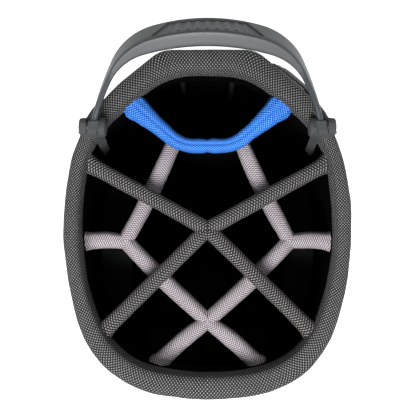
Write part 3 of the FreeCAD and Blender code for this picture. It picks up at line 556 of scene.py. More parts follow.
def diamond_mesh_group() -> bpy.types.NodeTree:
    """Knitted mesh: loops at the crossings of two slanted sets of strands, with holes between. The
    strands lean the other way on each side of the map's middle line.

    Returns:
        The group, with outputs Loop, Hole and Height.
    """
    group, g, inp, out = shader_group(
        "diamond_mesh",
        {"Map": (0.0, 0.0, 0.0), "Along": 2.9, "Across": 3.5, "Lean": 0.16},
        {"Loop": "NodeSocketFloat", "Hole": "NodeSocketFloat", "Height": "NodeSocketFloat"},
    )
    split = g.add("ShaderNodeSeparateXYZ", in_Vector=inp.outputs["Map"])
    wobble = g.add("ShaderNodeTexNoise", in_Vector=inp.outputs["Map"], in_Scale=55.0, in_Detail=1.0)
    drift = g.math("MULTIPLY", g.math("SUBTRACT", wobble.outputs["Fac"], 0.5), 0.16)
    u = g.math("DIVIDE", g.math("MULTIPLY", split.outputs["X"], 1000.0), inp.outputs["Along"])
    v = g.math("DIVIDE", g.math("MULTIPLY", split.outputs["Y"], 1000.0), inp.outputs["Across"])
    v = g.math("ADD", v, drift)
    middle = g.math("SINE", g.math("MULTIPLY", split.outputs["Y"], 330.0))
    side = g.math("MULTIPLY", middle, inp.outputs["Lean"])
    waves = []
    for way in (1.0, -1.0):
        phase = g.math("MULTIPLY", g.math("ADD", u, g.math("MULTIPLY", v, way)), math.pi)
        wave = g.math("COSINE", phase)
        square = g.math("MULTIPLY", wave, wave)
        waves.append(g.math("MULTIPLY", square, g.math("MULTIPLY_ADD", side, way, 0.5)))
    height = g.math("ADD", *waves)
    g.join(g.rise(height, 0.66, 0.96, True), out.inputs["Loop"])
    g.join(g.rise(height, 0.50, 0.20, True), out.inputs["Hole"])
    g.join(height, out.inputs["Height"])
    return group


def plain_weave_group() -> bpy.types.NodeTree:
    """Plain weave: over and under threads with a slight slub.

    Returns:
        The group, with outputs Thread and Height.
    """
    group, g, inp, out = shader_group(
        "plain_weave",
        {"Map": (0.0, 0.0, 0.0), "Pitch": 0.9, "Slub": 0.3},
        {"Thread": "NodeSocketFloat", "Height": "NodeSocketFloat"},
    )
    slub = g.add("ShaderNodeTexNoise", in_Vector=inp.outputs["Map"], in_Scale=160.0, in_Detail=2.0)
    shift = g.math("MULTIPLY", g.math("SUBTRACT", slub.outputs["Fac"], 0.5), inp.outputs["Slub"])
    split = g.add("ShaderNodeSeparateXYZ", in_Vector=inp.outputs["Map"])
    scale = g.math("DIVIDE", 1000.0 * math.pi, inp.outputs["Pitch"])
    u = g.math("ADD", g.math("MULTIPLY", split.outputs["X"], scale), shift)
    v = g.math("ADD", g.math("MULTIPLY", split.outputs["Y"], scale), shift)
    over = g.math("MULTIPLY", g.math("SINE", u), g.math("SINE", v))
    height = g.math("MULTIPLY_ADD", over, 0.5, 0.5)
    g.join(height, out.inputs["Height"])
    fibre = g.math("MULTIPLY", slub.outputs["Fac"], 0.3)
    g.join(g.math("ADD", g.math("MULTIPLY", height, 0.7), fibre), out.inputs["Thread"])
    return group


def handling_group() -> bpy.types.NodeTree:
    """Marks of use: broad uneven tone and fine dust.

    Returns:
        The group, with outputs Tone and Dust, both from 0 to 1.
    """
    group, g, inp, out = shader_group(
        "handling",
        {"Place": (0.0, 0.0, 0.0), "Broad": 14.0, "Fine": 600.0},
        {"Tone": "NodeSocketFloat", "Dust": "NodeSocketFloat"},
    )
    place = inp.outputs["Place"]
    broad, fine = (
        g.add("ShaderNodeTexNoise", in_Vector=place, in_Scale=inp.outputs[scale], in_Detail=detail)
        for scale, detail in (("Broad", 4.0), ("Fine", 2.0))
    )
    g.join(broad.outputs["Fac"], out.inputs["Tone"])
    g.join(g.rise(fine.outputs["Fac"], 0.62, 0.78, False), out.inputs["Dust"])
    return group


GROUPS: dict[str, bpy.types.NodeTree] = {}


@dataclass(frozen=True)
class Finish:
    """What every finish shares: a name, a shader and the group that adds marks of use."""

    name: str

    def start(self) -> tuple[bpy.types.Material, Graph, bpy.types.Node, bpy.types.Node]:
        """Makes the material with a Principled shader and the handling group.

        Returns:
            The material, its graph, the shader and the handling node.
        """
        made = bpy.data.materials.new(self.name)
        made.use_nodes = True
        g = Graph(made.node_tree)
        shader = g.add("ShaderNodeBsdfPrincipled")
        g.add("ShaderNodeOutputMaterial", in_Surface=shader.outputs[0])
        place = g.add("ShaderNodeTexCoord").outputs["Object"]
        use = self.group(g, "handling", in_Place=place)
        return made, g, shader, use

    def group(self, g: Graph, name: str, **inputs: object) -> bpy.types.Node:
        """Places a shared group in a graph."""
        return g.add("ShaderNodeGroup", node_tree=GROUPS[name], **inputs)

    def worn(self, g: Graph, shader: bpy.types.Node, use: bpy.types.Node, colour: object) -> None:
        """Colours the shader, varied by the broad tone.

        Args:
            g: The material's graph.
            shader: Its shader.
            use: The handling node.
            colour: The colour before wear.
        """
        tone = g.math("MULTIPLY_ADD", use.outputs["Tone"], 0.5, 0.75)
        shade = g.add("ShaderNodeHueSaturation", in_Color=colour, in_Value=tone)
        g.join(shade.outputs[0], shader.inputs["Base Color"])

    def relief(self, g: Graph, shader: bpy.types.Node, height: object, depth: float) -> None:
        """Feeds a height into the shader's normal."""
        node = g.add("ShaderNodeBump", in_Height=height, in_Strength=1.0, in_Distance=depth * MM)
        g.join(node.outputs[0], shader.inputs["Normal"])


@dataclass(frozen=True)
class MeshFinish(Finish):
    """Knitted mesh over foam."""

    loop: Colour
    strand: Colour
    hole: Colour
    along: float = 2.9
    across: float = 3.5
    depth: float = 0.5
    sheen: float = 0.04
    lean: float = 0.16

    def build(self) -> bpy.types.Material:
        """Builds the material.

        Returns:
            The material.
        """
        made, g, shader, use = self.start()
        cloth = g.add("ShaderNodeUVMap", uv_map=CLOTH_MAP).outputs[0]
        knit = self.group(
            g, "diamond_mesh", in_Map=cloth, in_Along=self.along, in_Across=self.across, in_Lean=self.lean
        )
        colour = g.mix(knit.outputs["Loop"], self.strand, self.loop)
        self.worn(g, shader, use, g.mix(knit.outputs["Hole"], colour, self.hole))
        shader.inputs["Roughness"].default_value = 0.72
        shader.inputs["Sheen Weight"].default_value = self.sheen
        shader.inputs["Specular IOR Level"].default_value = 0.35
        self.relief(g, shader, knit.outputs["Height"], self.depth)
        return made


@dataclass(frozen=True)
class WovenFinish(Finish):
    """Woven cloth or webbing."""

    light: Colour
    dark: Colour
    pitch: float = 0.9
    depth: float = 0.12
    rough: float = 0.75
    sheen: float = 0.03
    specular: float = 0.3

    def build(self) -> bpy.types.Material:
        """Builds the material.

        Returns:
            The material.
        """
        made, g, shader, use = self.start()
        cloth = g.add("ShaderNodeUVMap", uv_map=CLOTH_MAP).outputs[0]
        weave = self.group(g, "plain_weave", in_Map=cloth, in_Pitch=self.pitch)
        self.worn(g, shader, use, g.mix(weave.outputs["Thread"], self.dark, self.light))
        rough = g.math("MULTIPLY_ADD", use.outputs["Tone"], 0.15, self.rough - 0.07)
        g.join(rough, shader.inputs["Roughness"])
        shader.inputs["Sheen Weight"].default_value = self.sheen
        shader.inputs["Specular IOR Level"].default_value = self.specular
        self.relief(g, shader, weave.outputs["Height"], self.depth)
        return made


@dataclass(frozen=True)
class MouldedFinish(Finish):
    """Moulded rubber or plastic with a fine spark texture, or a coated metal."""

    colour: Colour
    rough: float = 0.5
    grain: float = 900.0
    depth: float = 0.04
    metal: float = 0.0
    dust: float = 0.1

    def build(self) -> bpy.types.Material:
        """Builds the material.

        Returns:
            The material.
        """
        made, g, shader, use = self.start()
        place = g.add("ShaderNodeTexCoord").outputs["Object"]
        grain = g.add("ShaderNodeTexNoise", in_Vector=place, in_Scale=self.grain, in_Detail=2.0)
        pale = tuple(min(1.0, c * 1.5 + 0.05) for c in self.colour)
        deep = tuple(c * 0.8 for c in self.colour)
        colour = g.mix(use.outputs["Tone"], deep, tuple(c * 1.15 for c in self.colour))
        colour = g.mix(g.math("MULTIPLY", use.outputs["Dust"], self.dust), colour, pale)
        g.join(colour, shader.inputs["Base Color"])
        rough = g.math("MULTIPLY_ADD", use.outputs["Tone"], 0.2, self.rough - 0.1)
        g.join(rough, shader.inputs["Roughness"])
        shader.inputs["Metallic"].default_value = self.metal
        self.relief(g, shader, grain.outputs["Fac"], self.depth)
        return made


FINISHES: tuple[Finish, ...] = (
    MeshFinish("charcoal_mesh", (0.25, 0.25, 0.245), (0.010, 0.010, 0.010), (0.001, 0.001, 0.001)),
    MeshFinish(
        "charcoal_knit", (0.27, 0.26, 0.25), (0.012, 0.012, 0.013), (0.001, 0.001, 0.001), 2.7, 5.2, lean=0.28
    ),
    MeshFinish(
        "grey_mesh", (0.52, 0.48, 0.50), (0.24, 0.21, 0.23), (0.07, 0.06, 0.07), 2.1, 5.0, 0.4, lean=0.30
    ),
    MeshFinish("strap_mesh", (0.24, 0.24, 0.24), (0.014, 0.014, 0.014), (0.003, 0.003, 0.003)),
    MeshFinish(
        "blue_fabric", (0.16, 0.42, 0.90), (0.002, 0.115, 0.52), (0.001, 0.05, 0.26), 2.4, 2.8, 0.35, 0.0
    ),
    WovenFinish("grey_webbing", (0.055, 0.057, 0.058), (0.022, 0.023, 0.024), 1.1, 0.12),
    WovenFinish("charcoal_fabric", (0.040, 0.042, 0.046), (0.018, 0.019, 0.021), 0.8, 0.10, 0.68),
    WovenFinish("pocket_fabric", (0.044, 0.046, 0.050), (0.020, 0.021, 0.023), 0.8, 0.10, 0.68),
    WovenFinish("black_webbing", (0.016, 0.016, 0.017), (0.006, 0.006, 0.007), 1.2, 0.15),
    # Near-black lining: black cloth made darker still, so that its colour also paints the shade deep inside
    # the bag.
    WovenFinish(
        "black_lining", (0.0012, 0.0012, 0.0013), (0.0006, 0.0006, 0.0006), 0.6, 0.04, 0.97, 0.0, 0.03
    ),
    WovenFinish("blue_thread", (0.02, 0.30, 0.95), (0.01, 0.18, 0.7), 0.5, 0.05, 0.5),
    WovenFinish("grey_thread", (0.30, 0.30, 0.31), (0.18, 0.18, 0.19), 0.5, 0.05, 0.5),
    MouldedFinish("handle_rubber", (0.029, 0.033, 0.037), 0.5, 1100.0, 0.12),
    MouldedFinish("black_plastic", (0.012, 0.012, 0.013), 0.42, 1000.0, 0.04),
    MouldedFinish("black_rubber", (0.014, 0.014, 0.015), 0.7, 700.0, 0.06),
    # The stays' near-black colour is painted shade of the bag's dark inside, not the alloy's own colour.
    MouldedFinish("stay_alloy", (0.004, 0.004, 0.0045), 0.6, 500.0, 0.01, 0.0, 0.0),
    MouldedFinish("gunmetal", (0.055, 0.056, 0.060), 0.35, 800.0, 0.02, 0.85, 0.0),
    MouldedFinish("pull_plastic", (0.01, 0.22, 0.85), 0.4, 900.0, 0.03),
)


class Wardrobe:
    """Builds every finish once and dresses pieces in them."""

    def __init__(self) -> None:
        """Builds the shared groups and the materials."""
        for group in (diamond_mesh_group(), plain_weave_group(), handling_group()):
            GROUPS[group.name] = group
        self.materials = {finish.name: finish.build() for finish in FINISHES}

    def dress(self, piece: bpy.types.Object, *names: str) -> bpy.types.Object:
        """Puts finishes in a piece's material slots, in order.

        Args:
            piece: The piece.
            names: The finishes' names.

        Returns:
            The same piece.
        """
        while len(piece.data.materials) < len(names):
            piece.data.materials.append(None)
        for slot, name in enumerate(names):
            piece.data.materials[slot] = self.materials[name]
        return piece

    def cad(self, node: str, finish: str) -> None:
        """Gives a CAD node that shows its finish."""
        self.dress(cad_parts[node], finish)


# ---------------------------------------------------------------- what repeats


class RepeatKind(Enum):
    """What a repeating tree sets along its path."""

    STITCH = "stitch"
    TOOTH = "tooth"


@dataclass(frozen=True)
class Repeat:
    """Small shapes set along paths by Geometry Nodes. Each path point carries the way out of the
    cloth in its out attribute."""

    kind: RepeatKind
    spacing: float
    size: tuple[float, float, float]

    def tree(self, material: bpy.types.Material) -> tuple[bpy.types.NodeTree, dict[str, str]]:
        """Builds the tree.

        Args:
            material: Finish of the small shapes.

        Returns:
            The tree and the identifiers of its named inputs.
        """
        tree = bpy.data.node_groups.new(f"{self.kind.value}_run", "GeometryNodeTree")
        face = tree.interface
        face.new_socket(name="Path", in_out="INPUT", socket_type="NodeSocketGeometry")
        ids = {}
        for label, kind in (("Spacing", "NodeSocketFloat"), ("Size", "NodeSocketVector")):
            ids[label] = face.new_socket(name=label, in_out="INPUT", socket_type=kind).identifier
        face.new_socket(name="Shapes", in_out="OUTPUT", socket_type="NodeSocketGeometry")
        g = Graph(tree)
        inp, out = g.add("NodeGroupInput"), g.add("NodeGroupOutput")
        curve = g.add("GeometryNodeMeshToCurve", in_Mesh=inp.outputs["Path"])
        even = g.add("GeometryNodeResampleCurve", mode="LENGTH", in_Curve=curve.outputs[0])
        g.join(inp.outputs["Spacing"], even.inputs["Length"])
        along = g.add("GeometryNodeInputTangent")
        outward = g.add("GeometryNodeInputNamedAttribute", data_type="FLOAT_VECTOR", in_Name="out")
        turn = g.add("FunctionNodeAxesToRotation", primary_axis="X", secondary_axis="Z")
        g.join(along.outputs[0], turn.inputs[0])
        g.join(outward.outputs[0], turn.inputs[1])
        if self.kind is RepeatKind.STITCH:
            shape = g.add("GeometryNodeMeshIcoSphere", in_Radius=0.5, in_Subdivisions=1)
        else:
            shape = g.add("GeometryNodeMeshCube")
        sized = g.add("GeometryNodeTransform", in_Geometry=shape.outputs[0], in_Scale=inp.outputs["Size"])
        setting = g.add("GeometryNodeInstanceOnPoints", in_Points=even.outputs[0])
        g.join(sized.outputs[0], setting.inputs["Instance"])
        g.join(turn.outputs[0], setting.inputs["Rotation"])
        real = g.add("GeometryNodeRealizeInstances", in_0=setting.outputs[0])
        finish = g.add("GeometryNodeSetMaterial", in_Geometry=real.outputs[0])
        finish.inputs["Material"].default_value = material
        g.join(finish.outputs[0], out.inputs[0])
        return tree, ids

    def run(self, name: str, paths: list[tuple[np.ndarray, np.ndarray]], finish: str) -> bpy.types.Object:
        """Sets the shapes along paths.

        Args:
            name: Name of the piece.
            paths: Pairs of points and outward ways, (n, 3) each, in millimetres.
            finish: Finish of the shapes.

        Returns:
            One plain mesh object.
        """
        verts, edges, ways = [], [], []
        for points, outward in paths:
            first = len(verts)
            verts += (points * MM).tolist()
            ways.append(outward)
            edges += [(first + i, first + i + 1) for i in range(len(points) - 1)]
        mesh = bpy.data.meshes.new(name + "_path")
        mesh.from_pydata(verts, edges, [])
        layer = mesh.attributes.new("out", "FLOAT_VECTOR", "POINT")
        layer.data.foreach_set("vector", np.concatenate(ways).astype(np.float32).ravel())
        path = new_object(name + "_path", mesh)
        material = bpy.data.materials[finish]
        tree, ids = self.tree(material)
        live = path.modifiers.new("run", "NODES")
        live.node_group = tree
        live[ids["Spacing"]] = self.spacing * MM
        live[ids["Size"]] = tuple(s * MM for s in self.size)
        bpy.context.view_layer.update()
        evaluated = path.evaluated_get(bpy.context.evaluated_depsgraph_get())
        made = bpy.data.meshes.new_from_object(evaluated)
        made.name = name
        path.modifiers.clear()
        bpy.data.objects.remove(path)
        made.materials.clear()
        made.materials.append(material)
        return new_object(name, made)


STITCH = Repeat(RepeatKind.STITCH, 4.2, (3.0, 0.75, 0.6))
TOOTH = Repeat(RepeatKind.TOOTH, 2.4, (1.3, 3.4, 1.5))


def pushed(points: np.ndarray, height: np.ndarray, closed: tuple[bool, bool], away: float) -> np.ndarray:
    """Moves a grid's points along its normals.

    Args:
        points: (rows, columns, 3).
        height: How far each moves.
        closed: Whether the rows and the columns close on themselves.
        away: 1 or -1, whichever makes the normals point out.

    Returns:
        The moved points.
    """
    return points + outward_of(points, closed) * (away * height)[..., None]


def cord_tube(name: str, points: np.ndarray, radius: float, closed: bool = False) -> bpy.types.Object:
    """A piping tube along points.

    Args:
        name: Object name.
        points: (n, 3), in millimetres.
        radius: The tube's radius.
        closed: Whether the ends join.

    Returns:
        The tube, with its cloth map.
    """
    along = unit(steps_of(points, 0, closed))
    side = np.zeros_like(points)
    last = np.cross(along[0], [0.31, 0.17, 0.93])
    for i, way in enumerate(along):
        last = last - way * (last @ way)
        last /= np.linalg.norm(last)
        side[i] = last
    up = np.cross(along, side)
    t = 2 * math.pi * np.arange(10) / 10
    around = np.cos(t)[:, None] * side[:, None] + np.sin(t)[:, None] * up[:, None]
    return lay_grid(name, points[:, None] + radius * around, (closed, True))


# ---------------------------------------------------------------- divider top


@dataclass
class RimPad:
    """The padded wall round the bag's mouth, with a seam inside its crown and a stitched hem."""

    top: float = 12.0
    bottom: float = -50.0
    shoulder: float = 5.7
    crown_power: float = 2.35
    seam_at: float = 1.0
    seam_depth: float = 1.3
    hem_at: float = -42.0
    hem_depth: float = 0.9
    wave: float = 0.45
    lining_and_shade_from: float = -13.0
    columns: dict[str, int] = field(default_factory=lambda: {"wall": 22, "crown": 30, "under": 4})

    def section(self) -> tuple[np.ndarray, np.ndarray]:
        """The wall's section from the outer hem, over the crown and down to the inner hem.

        Returns:
            The share across from the outer to the inner face, and the height.
        """
        n = self.columns
        rise = np.linspace(self.bottom, self.shoulder, n["wall"], endpoint=False)
        turn = np.linspace(math.pi, 0, n["crown"], endpoint=False)
        c, s = np.cos(turn), np.sin(turn)
        power = 2 / self.crown_power
        across = 0.5 + 0.5 * np.sign(c) * np.abs(c) ** power
        high = self.shoulder + (self.top - self.shoulder) * np.abs(s) ** power
        fall = np.linspace(self.shoulder, self.bottom, n["wall"], endpoint=False)
        back = np.linspace(1, 0, n["under"], endpoint=False)
        t = np.concatenate([np.zeros_like(rise), across, np.ones_like(fall), back])
        z = np.concatenate([rise, high, fall, np.full(n["under"], self.bottom)])
        return t, z

    def build(self, wardrobe: Wardrobe) -> None:
        """Builds and dresses the pad.

        Args:
            wardrobe: Holds the finishes.
        """
        pad = wardrobe.dress(self.pad(), "charcoal_mesh", "black_lining")
        finished(pad, "bag", "charcoal_mesh", "rim_pad")

    def pad(self) -> bpy.types.Object:
        """The pad's skin, with its lower inner face given the near-black lining as a second material, which
        also paints the shade inside the mouth.

        Returns:
            The pad.
        """
        outer, _ = OUTER.loop()
        inner, _ = MOUTH.loop()
        t, z = self.section()
        plan = outer[:, None] * (1 - t)[None, :, None] + inner[:, None] * t[None, :, None]
        points = RIM.world(raised(plan, z[None]))
        inside, outside = t > 0.99, t < 0.01
        groove = -self.seam_depth * bump(z, self.seam_at, 1.6) * inside
        groove = groove + 0.35 * bump(z, self.seam_at + 4.5, 2.5) * inside
        groove = groove - self.hem_depth * bump(z, self.hem_at, 1.6) * (inside | outside)
        groove = groove - self.hem_depth * bump(z, -2.0, 1.4) * outside
        plump = ripple(points, 11, 46.0) * self.wave + ripple(points, 12, 15.0) * self.wave * 0.35
        height = groove[None, :] + plump * (z > self.bottom + 4)[None, :]
        closed = (True, True)
        points = pushed(points, height - 0.25, closed, -1.0)
        crown = self.columns["wall"] + self.columns["crown"] / 2
        pad = lay_grid("rim_padding", points, closed, crown=crown)
        # Below this height the inner face takes the near-black lining: real lining that also paints the shade
        # down inside the mouth.
        lined_shade = np.tile(inside & (z < self.lining_and_shade_from), len(points)).astype(np.int32)
        pad.data.polygons.foreach_set("material_index", lined_shade)
        return pad


def mouth_hit(start: np.ndarray, end: np.ndarray) -> np.ndarray:
    """Plan point where the line from start through end meets the mouth's edge.

    Args:
        start: A plan place inside the mouth.
        end: A second place, which sets the direction.

    Returns:
        The place on the edge.
    """
    edge, _ = MOUTH.loop()
    way = unit(end - start)
    run = np.roll(edge, -1, 0) - edge
    cross = way[0] * run[:, 1] - way[1] * run[:, 0]
    off = edge - start
    t = (off[:, 0] * run[:, 1] - off[:, 1] * run[:, 0]) / cross
    u = (off[:, 0] * way[1] - off[:, 1] * way[0]) / cross
    good = (u >= 0) & (u <= 1) & (t > 0)
    return start + way * t[good].min()


def bearing(start: np.ndarray, end: np.ndarray) -> float:
    """Direction from start to end, in radians."""
    return math.atan2(end[1] - start[1], end[0] - start[0])


@dataclass(frozen=True)
class Bar:
    """One padded bar of the divider top, on the right side or in both halves."""

    name: str
    start: Plan
    end: Plan
    level: float
    finish: str
    seed: int


@dataclass
class DividerBars:
    """The padded sleeves on the bars: a charcoal cross, grey bars under it and a blue yoke that
    closes the putter's well."""

    width: float = 14.0
    height: float = 20.0
    upper: float = -8.0
    lower: float = -34.0
    power: float = 2.5
    flare: float = 5.0
    flare_reach: float = 11.0
    pinch: float = 0.16
    pinch_reach: float = 7.0
    bury: float = 4.0
    wrinkle: float = 0.55
    belly: float = 0.12
    bow: float = 1.5
    cross: Plan = (0.0, -3.8)
    side_node: Plan = (76.0, -15.6)
    front_node: Plan = (0.0, -89.4)
    cross_back_end: Plan = (106.5, 54.5)
    cross_front_end: Plan = (95.0, -97.0)
    side_end: Plan = (112.0, -16.6)
    front_end: Plan = (51.5, -135.0)
    yoke_rest: Plan = (31.5, 75.3)
    yoke_bend: Plan = (24.0, 71.0)
    yoke_end: Plan = (68.2, 108.5)
    yoke_bend_radius: float = 34.0
    yoke_flare: float = 13.0
    yoke_flare_reach: float = 22.0
    yoke_seam: float = 1.6
    yoke_slim: float = 0.9
    yoke_lip: float = 0.22
    ring_points: int = 56

    def bars(self) -> tuple[Bar, ...]:
        """The right half's straight bars.

        Returns:
            Six bars, each with its place, level and finish.
        """
        return (
            Bar("cross_sleeve_back", self.cross, self.cross_back_end, self.upper, "charcoal_mesh", 21),
            Bar("cross_sleeve_front", self.cross, self.cross_front_end, self.upper, "charcoal_mesh", 22),
            Bar("grey_sleeve_putter", self.side_node, self.yoke_rest, self.lower, "grey_mesh", 23),
            Bar("grey_sleeve_side", self.side_node, self.side_end, self.lower, "grey_mesh", 24),
            Bar("grey_sleeve_inner", self.side_node, self.front_node, self.lower, "grey_mesh", 25),
            Bar("grey_sleeve_front", self.front_node, self.front_end, self.lower, "grey_mesh", 26),
        )

    def meetings(self) -> dict[Plan, list[Plan]]:
        """Each node where bars meet, with the far ends of all bars there.

        Returns:
            Far ends by node.
        """
        ends = (self.cross_back_end, self.cross_front_end)
        fore = (self.side_node, self.front_end)
        return {
            self.cross: [*ends, *((-x, y) for x, y in ends)],
            self.side_node: [self.yoke_rest, self.side_end, self.front_node],
            self.front_node: [*fore, *((-x, y) for x, y in fore)],
        }

    def mitre(self, node: Plan, end: Plan, across: np.ndarray) -> np.ndarray:
        """How far past a node a bar's end face stands, for offsets to its left.

        Args:
            node: The place where bars meet.
            end: The bar's far end.
            across: Offsets to the bar's left.

        Returns:
            One distance for each offset.
        """
        own = bearing(np.array(node), np.array(end))
        others = [other for other in self.meetings()[node] if other != end]
        turns = sorted((bearing(np.array(node), np.array(other)) - own) % (2 * math.pi) for other in others)
        left, right = turns[0] / 2, (2 * math.pi - turns[-1]) / 2
        return np.where(across > 0, across / math.tan(left), -across / math.tan(right))

    def straight(self, spec: Bar, side: int) -> bpy.types.Object:
        """Builds one straight sleeve.

        Args:
            spec: The bar on the right half.
            side: 1 for the right half and -1 for the left.

        Returns:
            The sleeve.
        """
        meets = self.meetings()
        start, end = np.array(spec.start), np.array(spec.end)
        at_wall = spec.end not in meets and spec.end != self.yoke_rest
        if at_wall:
            end = mouth_hit(start, end)
        length = float(np.linalg.norm(end - start)) + (self.bury if at_wall else 0.0)
        way = unit(end - start)
        left = np.array([-way[1], way[0]])
        share = ease(np.linspace(0, 1, 96), -0.15, 1.15)
        share = (share - share[0]) / (share[-1] - share[0])
        section = ring(self.ring_points, self.width / 2, self.height / 2, self.power)
        far = length - share * length
        near = share * length
        scale_across, scale_up = np.ones_like(share), np.ones_like(share)
        if at_wall:
            grow = np.exp(-np.maximum(far - self.bury, 0) / self.flare_reach * 2.2)
            scale_across = scale_across + grow * self.flare / self.width
            scale_up = scale_up + grow * 0.10
        else:
            scale_up = scale_up - self.pinch * np.exp(-((far / self.pinch_reach) ** 2))
        scale_up = scale_up - self.pinch * np.exp(-((near / self.pinch_reach) ** 2))
        slack = np.sin(np.pi * share) * (spec.finish == "grey_mesh")
        scale_across = scale_across + self.belly * slack
        turn = 2 * math.pi * np.arange(self.ring_points) / self.ring_points
        rng = np.random.default_rng(spec.seed)
        gather = sum(
            np.sin(k * turn[None, :] + rng.uniform(0, 6.28)) * w for k, w in ((7, 0.5), (11, 0.35), (4, 0.5))
        )
        fall = np.exp(-(np.minimum(near, far) / 9.0))[:, None]
        a = section[None, :, 0] * scale_across[:, None]
        h = section[None, :, 1] * scale_up[:, None]
        place = np.stack([near[:, None] + 0 * a, a, h], -1)
        bend = ripple(place + spec.seed * 31.0 * side, spec.seed, 30.0) * self.wrinkle * 0.7
        bend = bend + ripple(place, spec.seed + 100, 9.0) * self.wrinkle * 0.28
        swell = (gather * fall * self.wrinkle * 1.1 + bend - 0.15) / np.hypot(self.width, self.height) * 2
        a, h = a * (1 + swell), h * (1 + swell)
        run = near[:, None] + 0 * a
        if spec.start in meets:
            run = run + self.mitre(spec.start, spec.end, a[0])[None, :] * (1 - share[:, None]) ** 3
        if spec.end in meets:
            run = run - self.mitre(spec.end, spec.start, -a[-1])[None, :] * share[:, None] ** 3
        plan = start + run[..., None] * way + (a + self.bow * slack[:, None])[..., None] * left
        plan[..., 0] *= side
        sag = -1.2 * np.sin(np.pi * share)[:, None] * (1 if at_wall else 0.5)
        points = RIM.world(raised(plan, spec.level + h + sag * 0.4))
        label = f"padded_{spec.name}_{SIDES[side]}"
        return lay_grid(label, points, crown=self.ring_points / 4)

    def yoke_line(self) -> np.ndarray:
        """Plan points along the yoke's middle line from the left rim to the right.

        Returns:
            (n, 2) points.
        """
        bend, end = np.array(self.yoke_bend), np.array(self.yoke_end)
        slope = bearing(bend, end)
        tangent = self.yoke_bend_radius * math.tan(slope / 2)
        hub = np.array([bend[0] - tangent, bend[1] + self.yoke_bend_radius])
        turns = np.linspace(0, slope, 22)
        arc = hub + self.yoke_bend_radius * np.stack([np.sin(turns), -np.cos(turns)], -1)
        hit = mouth_hit(arc[-1], end)
        way = unit(hit - arc[-1])
        reach = np.linalg.norm(hit - arc[-1]) + self.bury
        arm = arc[-1] + way * np.linspace(0, reach, 36)[1:, None]
        flat = np.stack([np.linspace(0, arc[0, 0], 12, endpoint=False), np.full(12, bend[1])], -1)
        half = np.concatenate([flat, arc, arm])
        return np.concatenate([(half[1:] * FLIP)[::-1], half])

    def yoke(self) -> bpy.types.Object:
        """Builds the blue yoke, puckered at its middle and spread where it meets the rim.

        Returns:
            The yoke.
        """
        line = self.yoke_line()
        left, run = left_of(line), walked(line)
        far = np.minimum(run, run[-1] - run)
        middle = np.abs(run - run[-1] / 2)
        section = ring(2 * self.ring_points, self.width / 2, self.height / 2, 2.9)
        grow = np.exp(-((np.maximum(far - self.bury, 0) / self.yoke_flare_reach) ** 1.3))
        wide = self.yoke_slim + grow * self.yoke_flare / self.width + 0.05 * bump(middle, 7.0, 4.0)
        wide = wide - 0.10 * bump(middle, 0.0, 1.8)
        wide = wide * (1 - self.yoke_lip * np.exp(-((np.maximum(far - self.bury, 0) / 3.0) ** 2)))
        tall = 1 + 0.08 * grow - 0.07 * bump(middle, 0.0, 1.8)
        turn = math.pi * np.arange(2 * self.ring_points) / self.ring_points
        a = section[None, :, 0] * wide[:, None]
        h = section[None, :, 1] * tall[:, None]
        place = np.stack([run[:, None] + 0 * a, a, h], -1)
        crease = ripple(place * [1.0, 0.35, 0.5], 41, 11.0) * 0.5 + ripple(place, 42, 30.0) * 0.5
        pleat = np.sin(9 * turn[None, :] + 1.3) * np.exp(-far / 12.0)[:, None] * 1.1
        swell = (crease + pleat - 0.2) / self.height * 2 * 0.55
        a, h = a * (1 + swell), h * (1 + swell)
        h = h - self.yoke_seam * bump(a, 1.0, 1.0) * (h > 0)
        plan = line[:, None] + a[..., None] * left[:, None]
        points = RIM.world(raised(plan, self.upper + h))
        return lay_grid("padded_putter_yoke", points, crown=self.ring_points / 2)

    def build(self, wardrobe: Wardrobe) -> None:
        """Builds and dresses every sleeve.

        Args:
            wardrobe: Holds the finishes.
        """
        for spec in self.bars():
            for side in SIDES:
                knit = "charcoal_knit" if spec.finish == "charcoal_mesh" else spec.finish
                piece = wardrobe.dress(self.straight(spec, side), knit)
                finished(piece, "bag", spec.finish, f"{spec.name}_{SIDES[side]}")
        piece = wardrobe.dress(self.yoke(), "blue_fabric")
        finished(piece, "bag", "blue_fabric", "putter_yoke_sleeve")


def finished(piece: bpy.types.Object, body: str, slot: str, *nodes: str) -> None:
    """Puts a piece on its body, in the place of CAD nodes, and reports it.

    Args:
        piece: The piece.
        body: Name of its body.
        slot: Not used.
        nodes: CAD nodes that it stands in for.
    """
    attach(piece, body)
    if nodes:
        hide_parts(*nodes)
    log.info("%s: %d faces, on %s", piece.name, len(piece.data.polygons), body)


# ---------------------------------------------------------------- the carrying handle


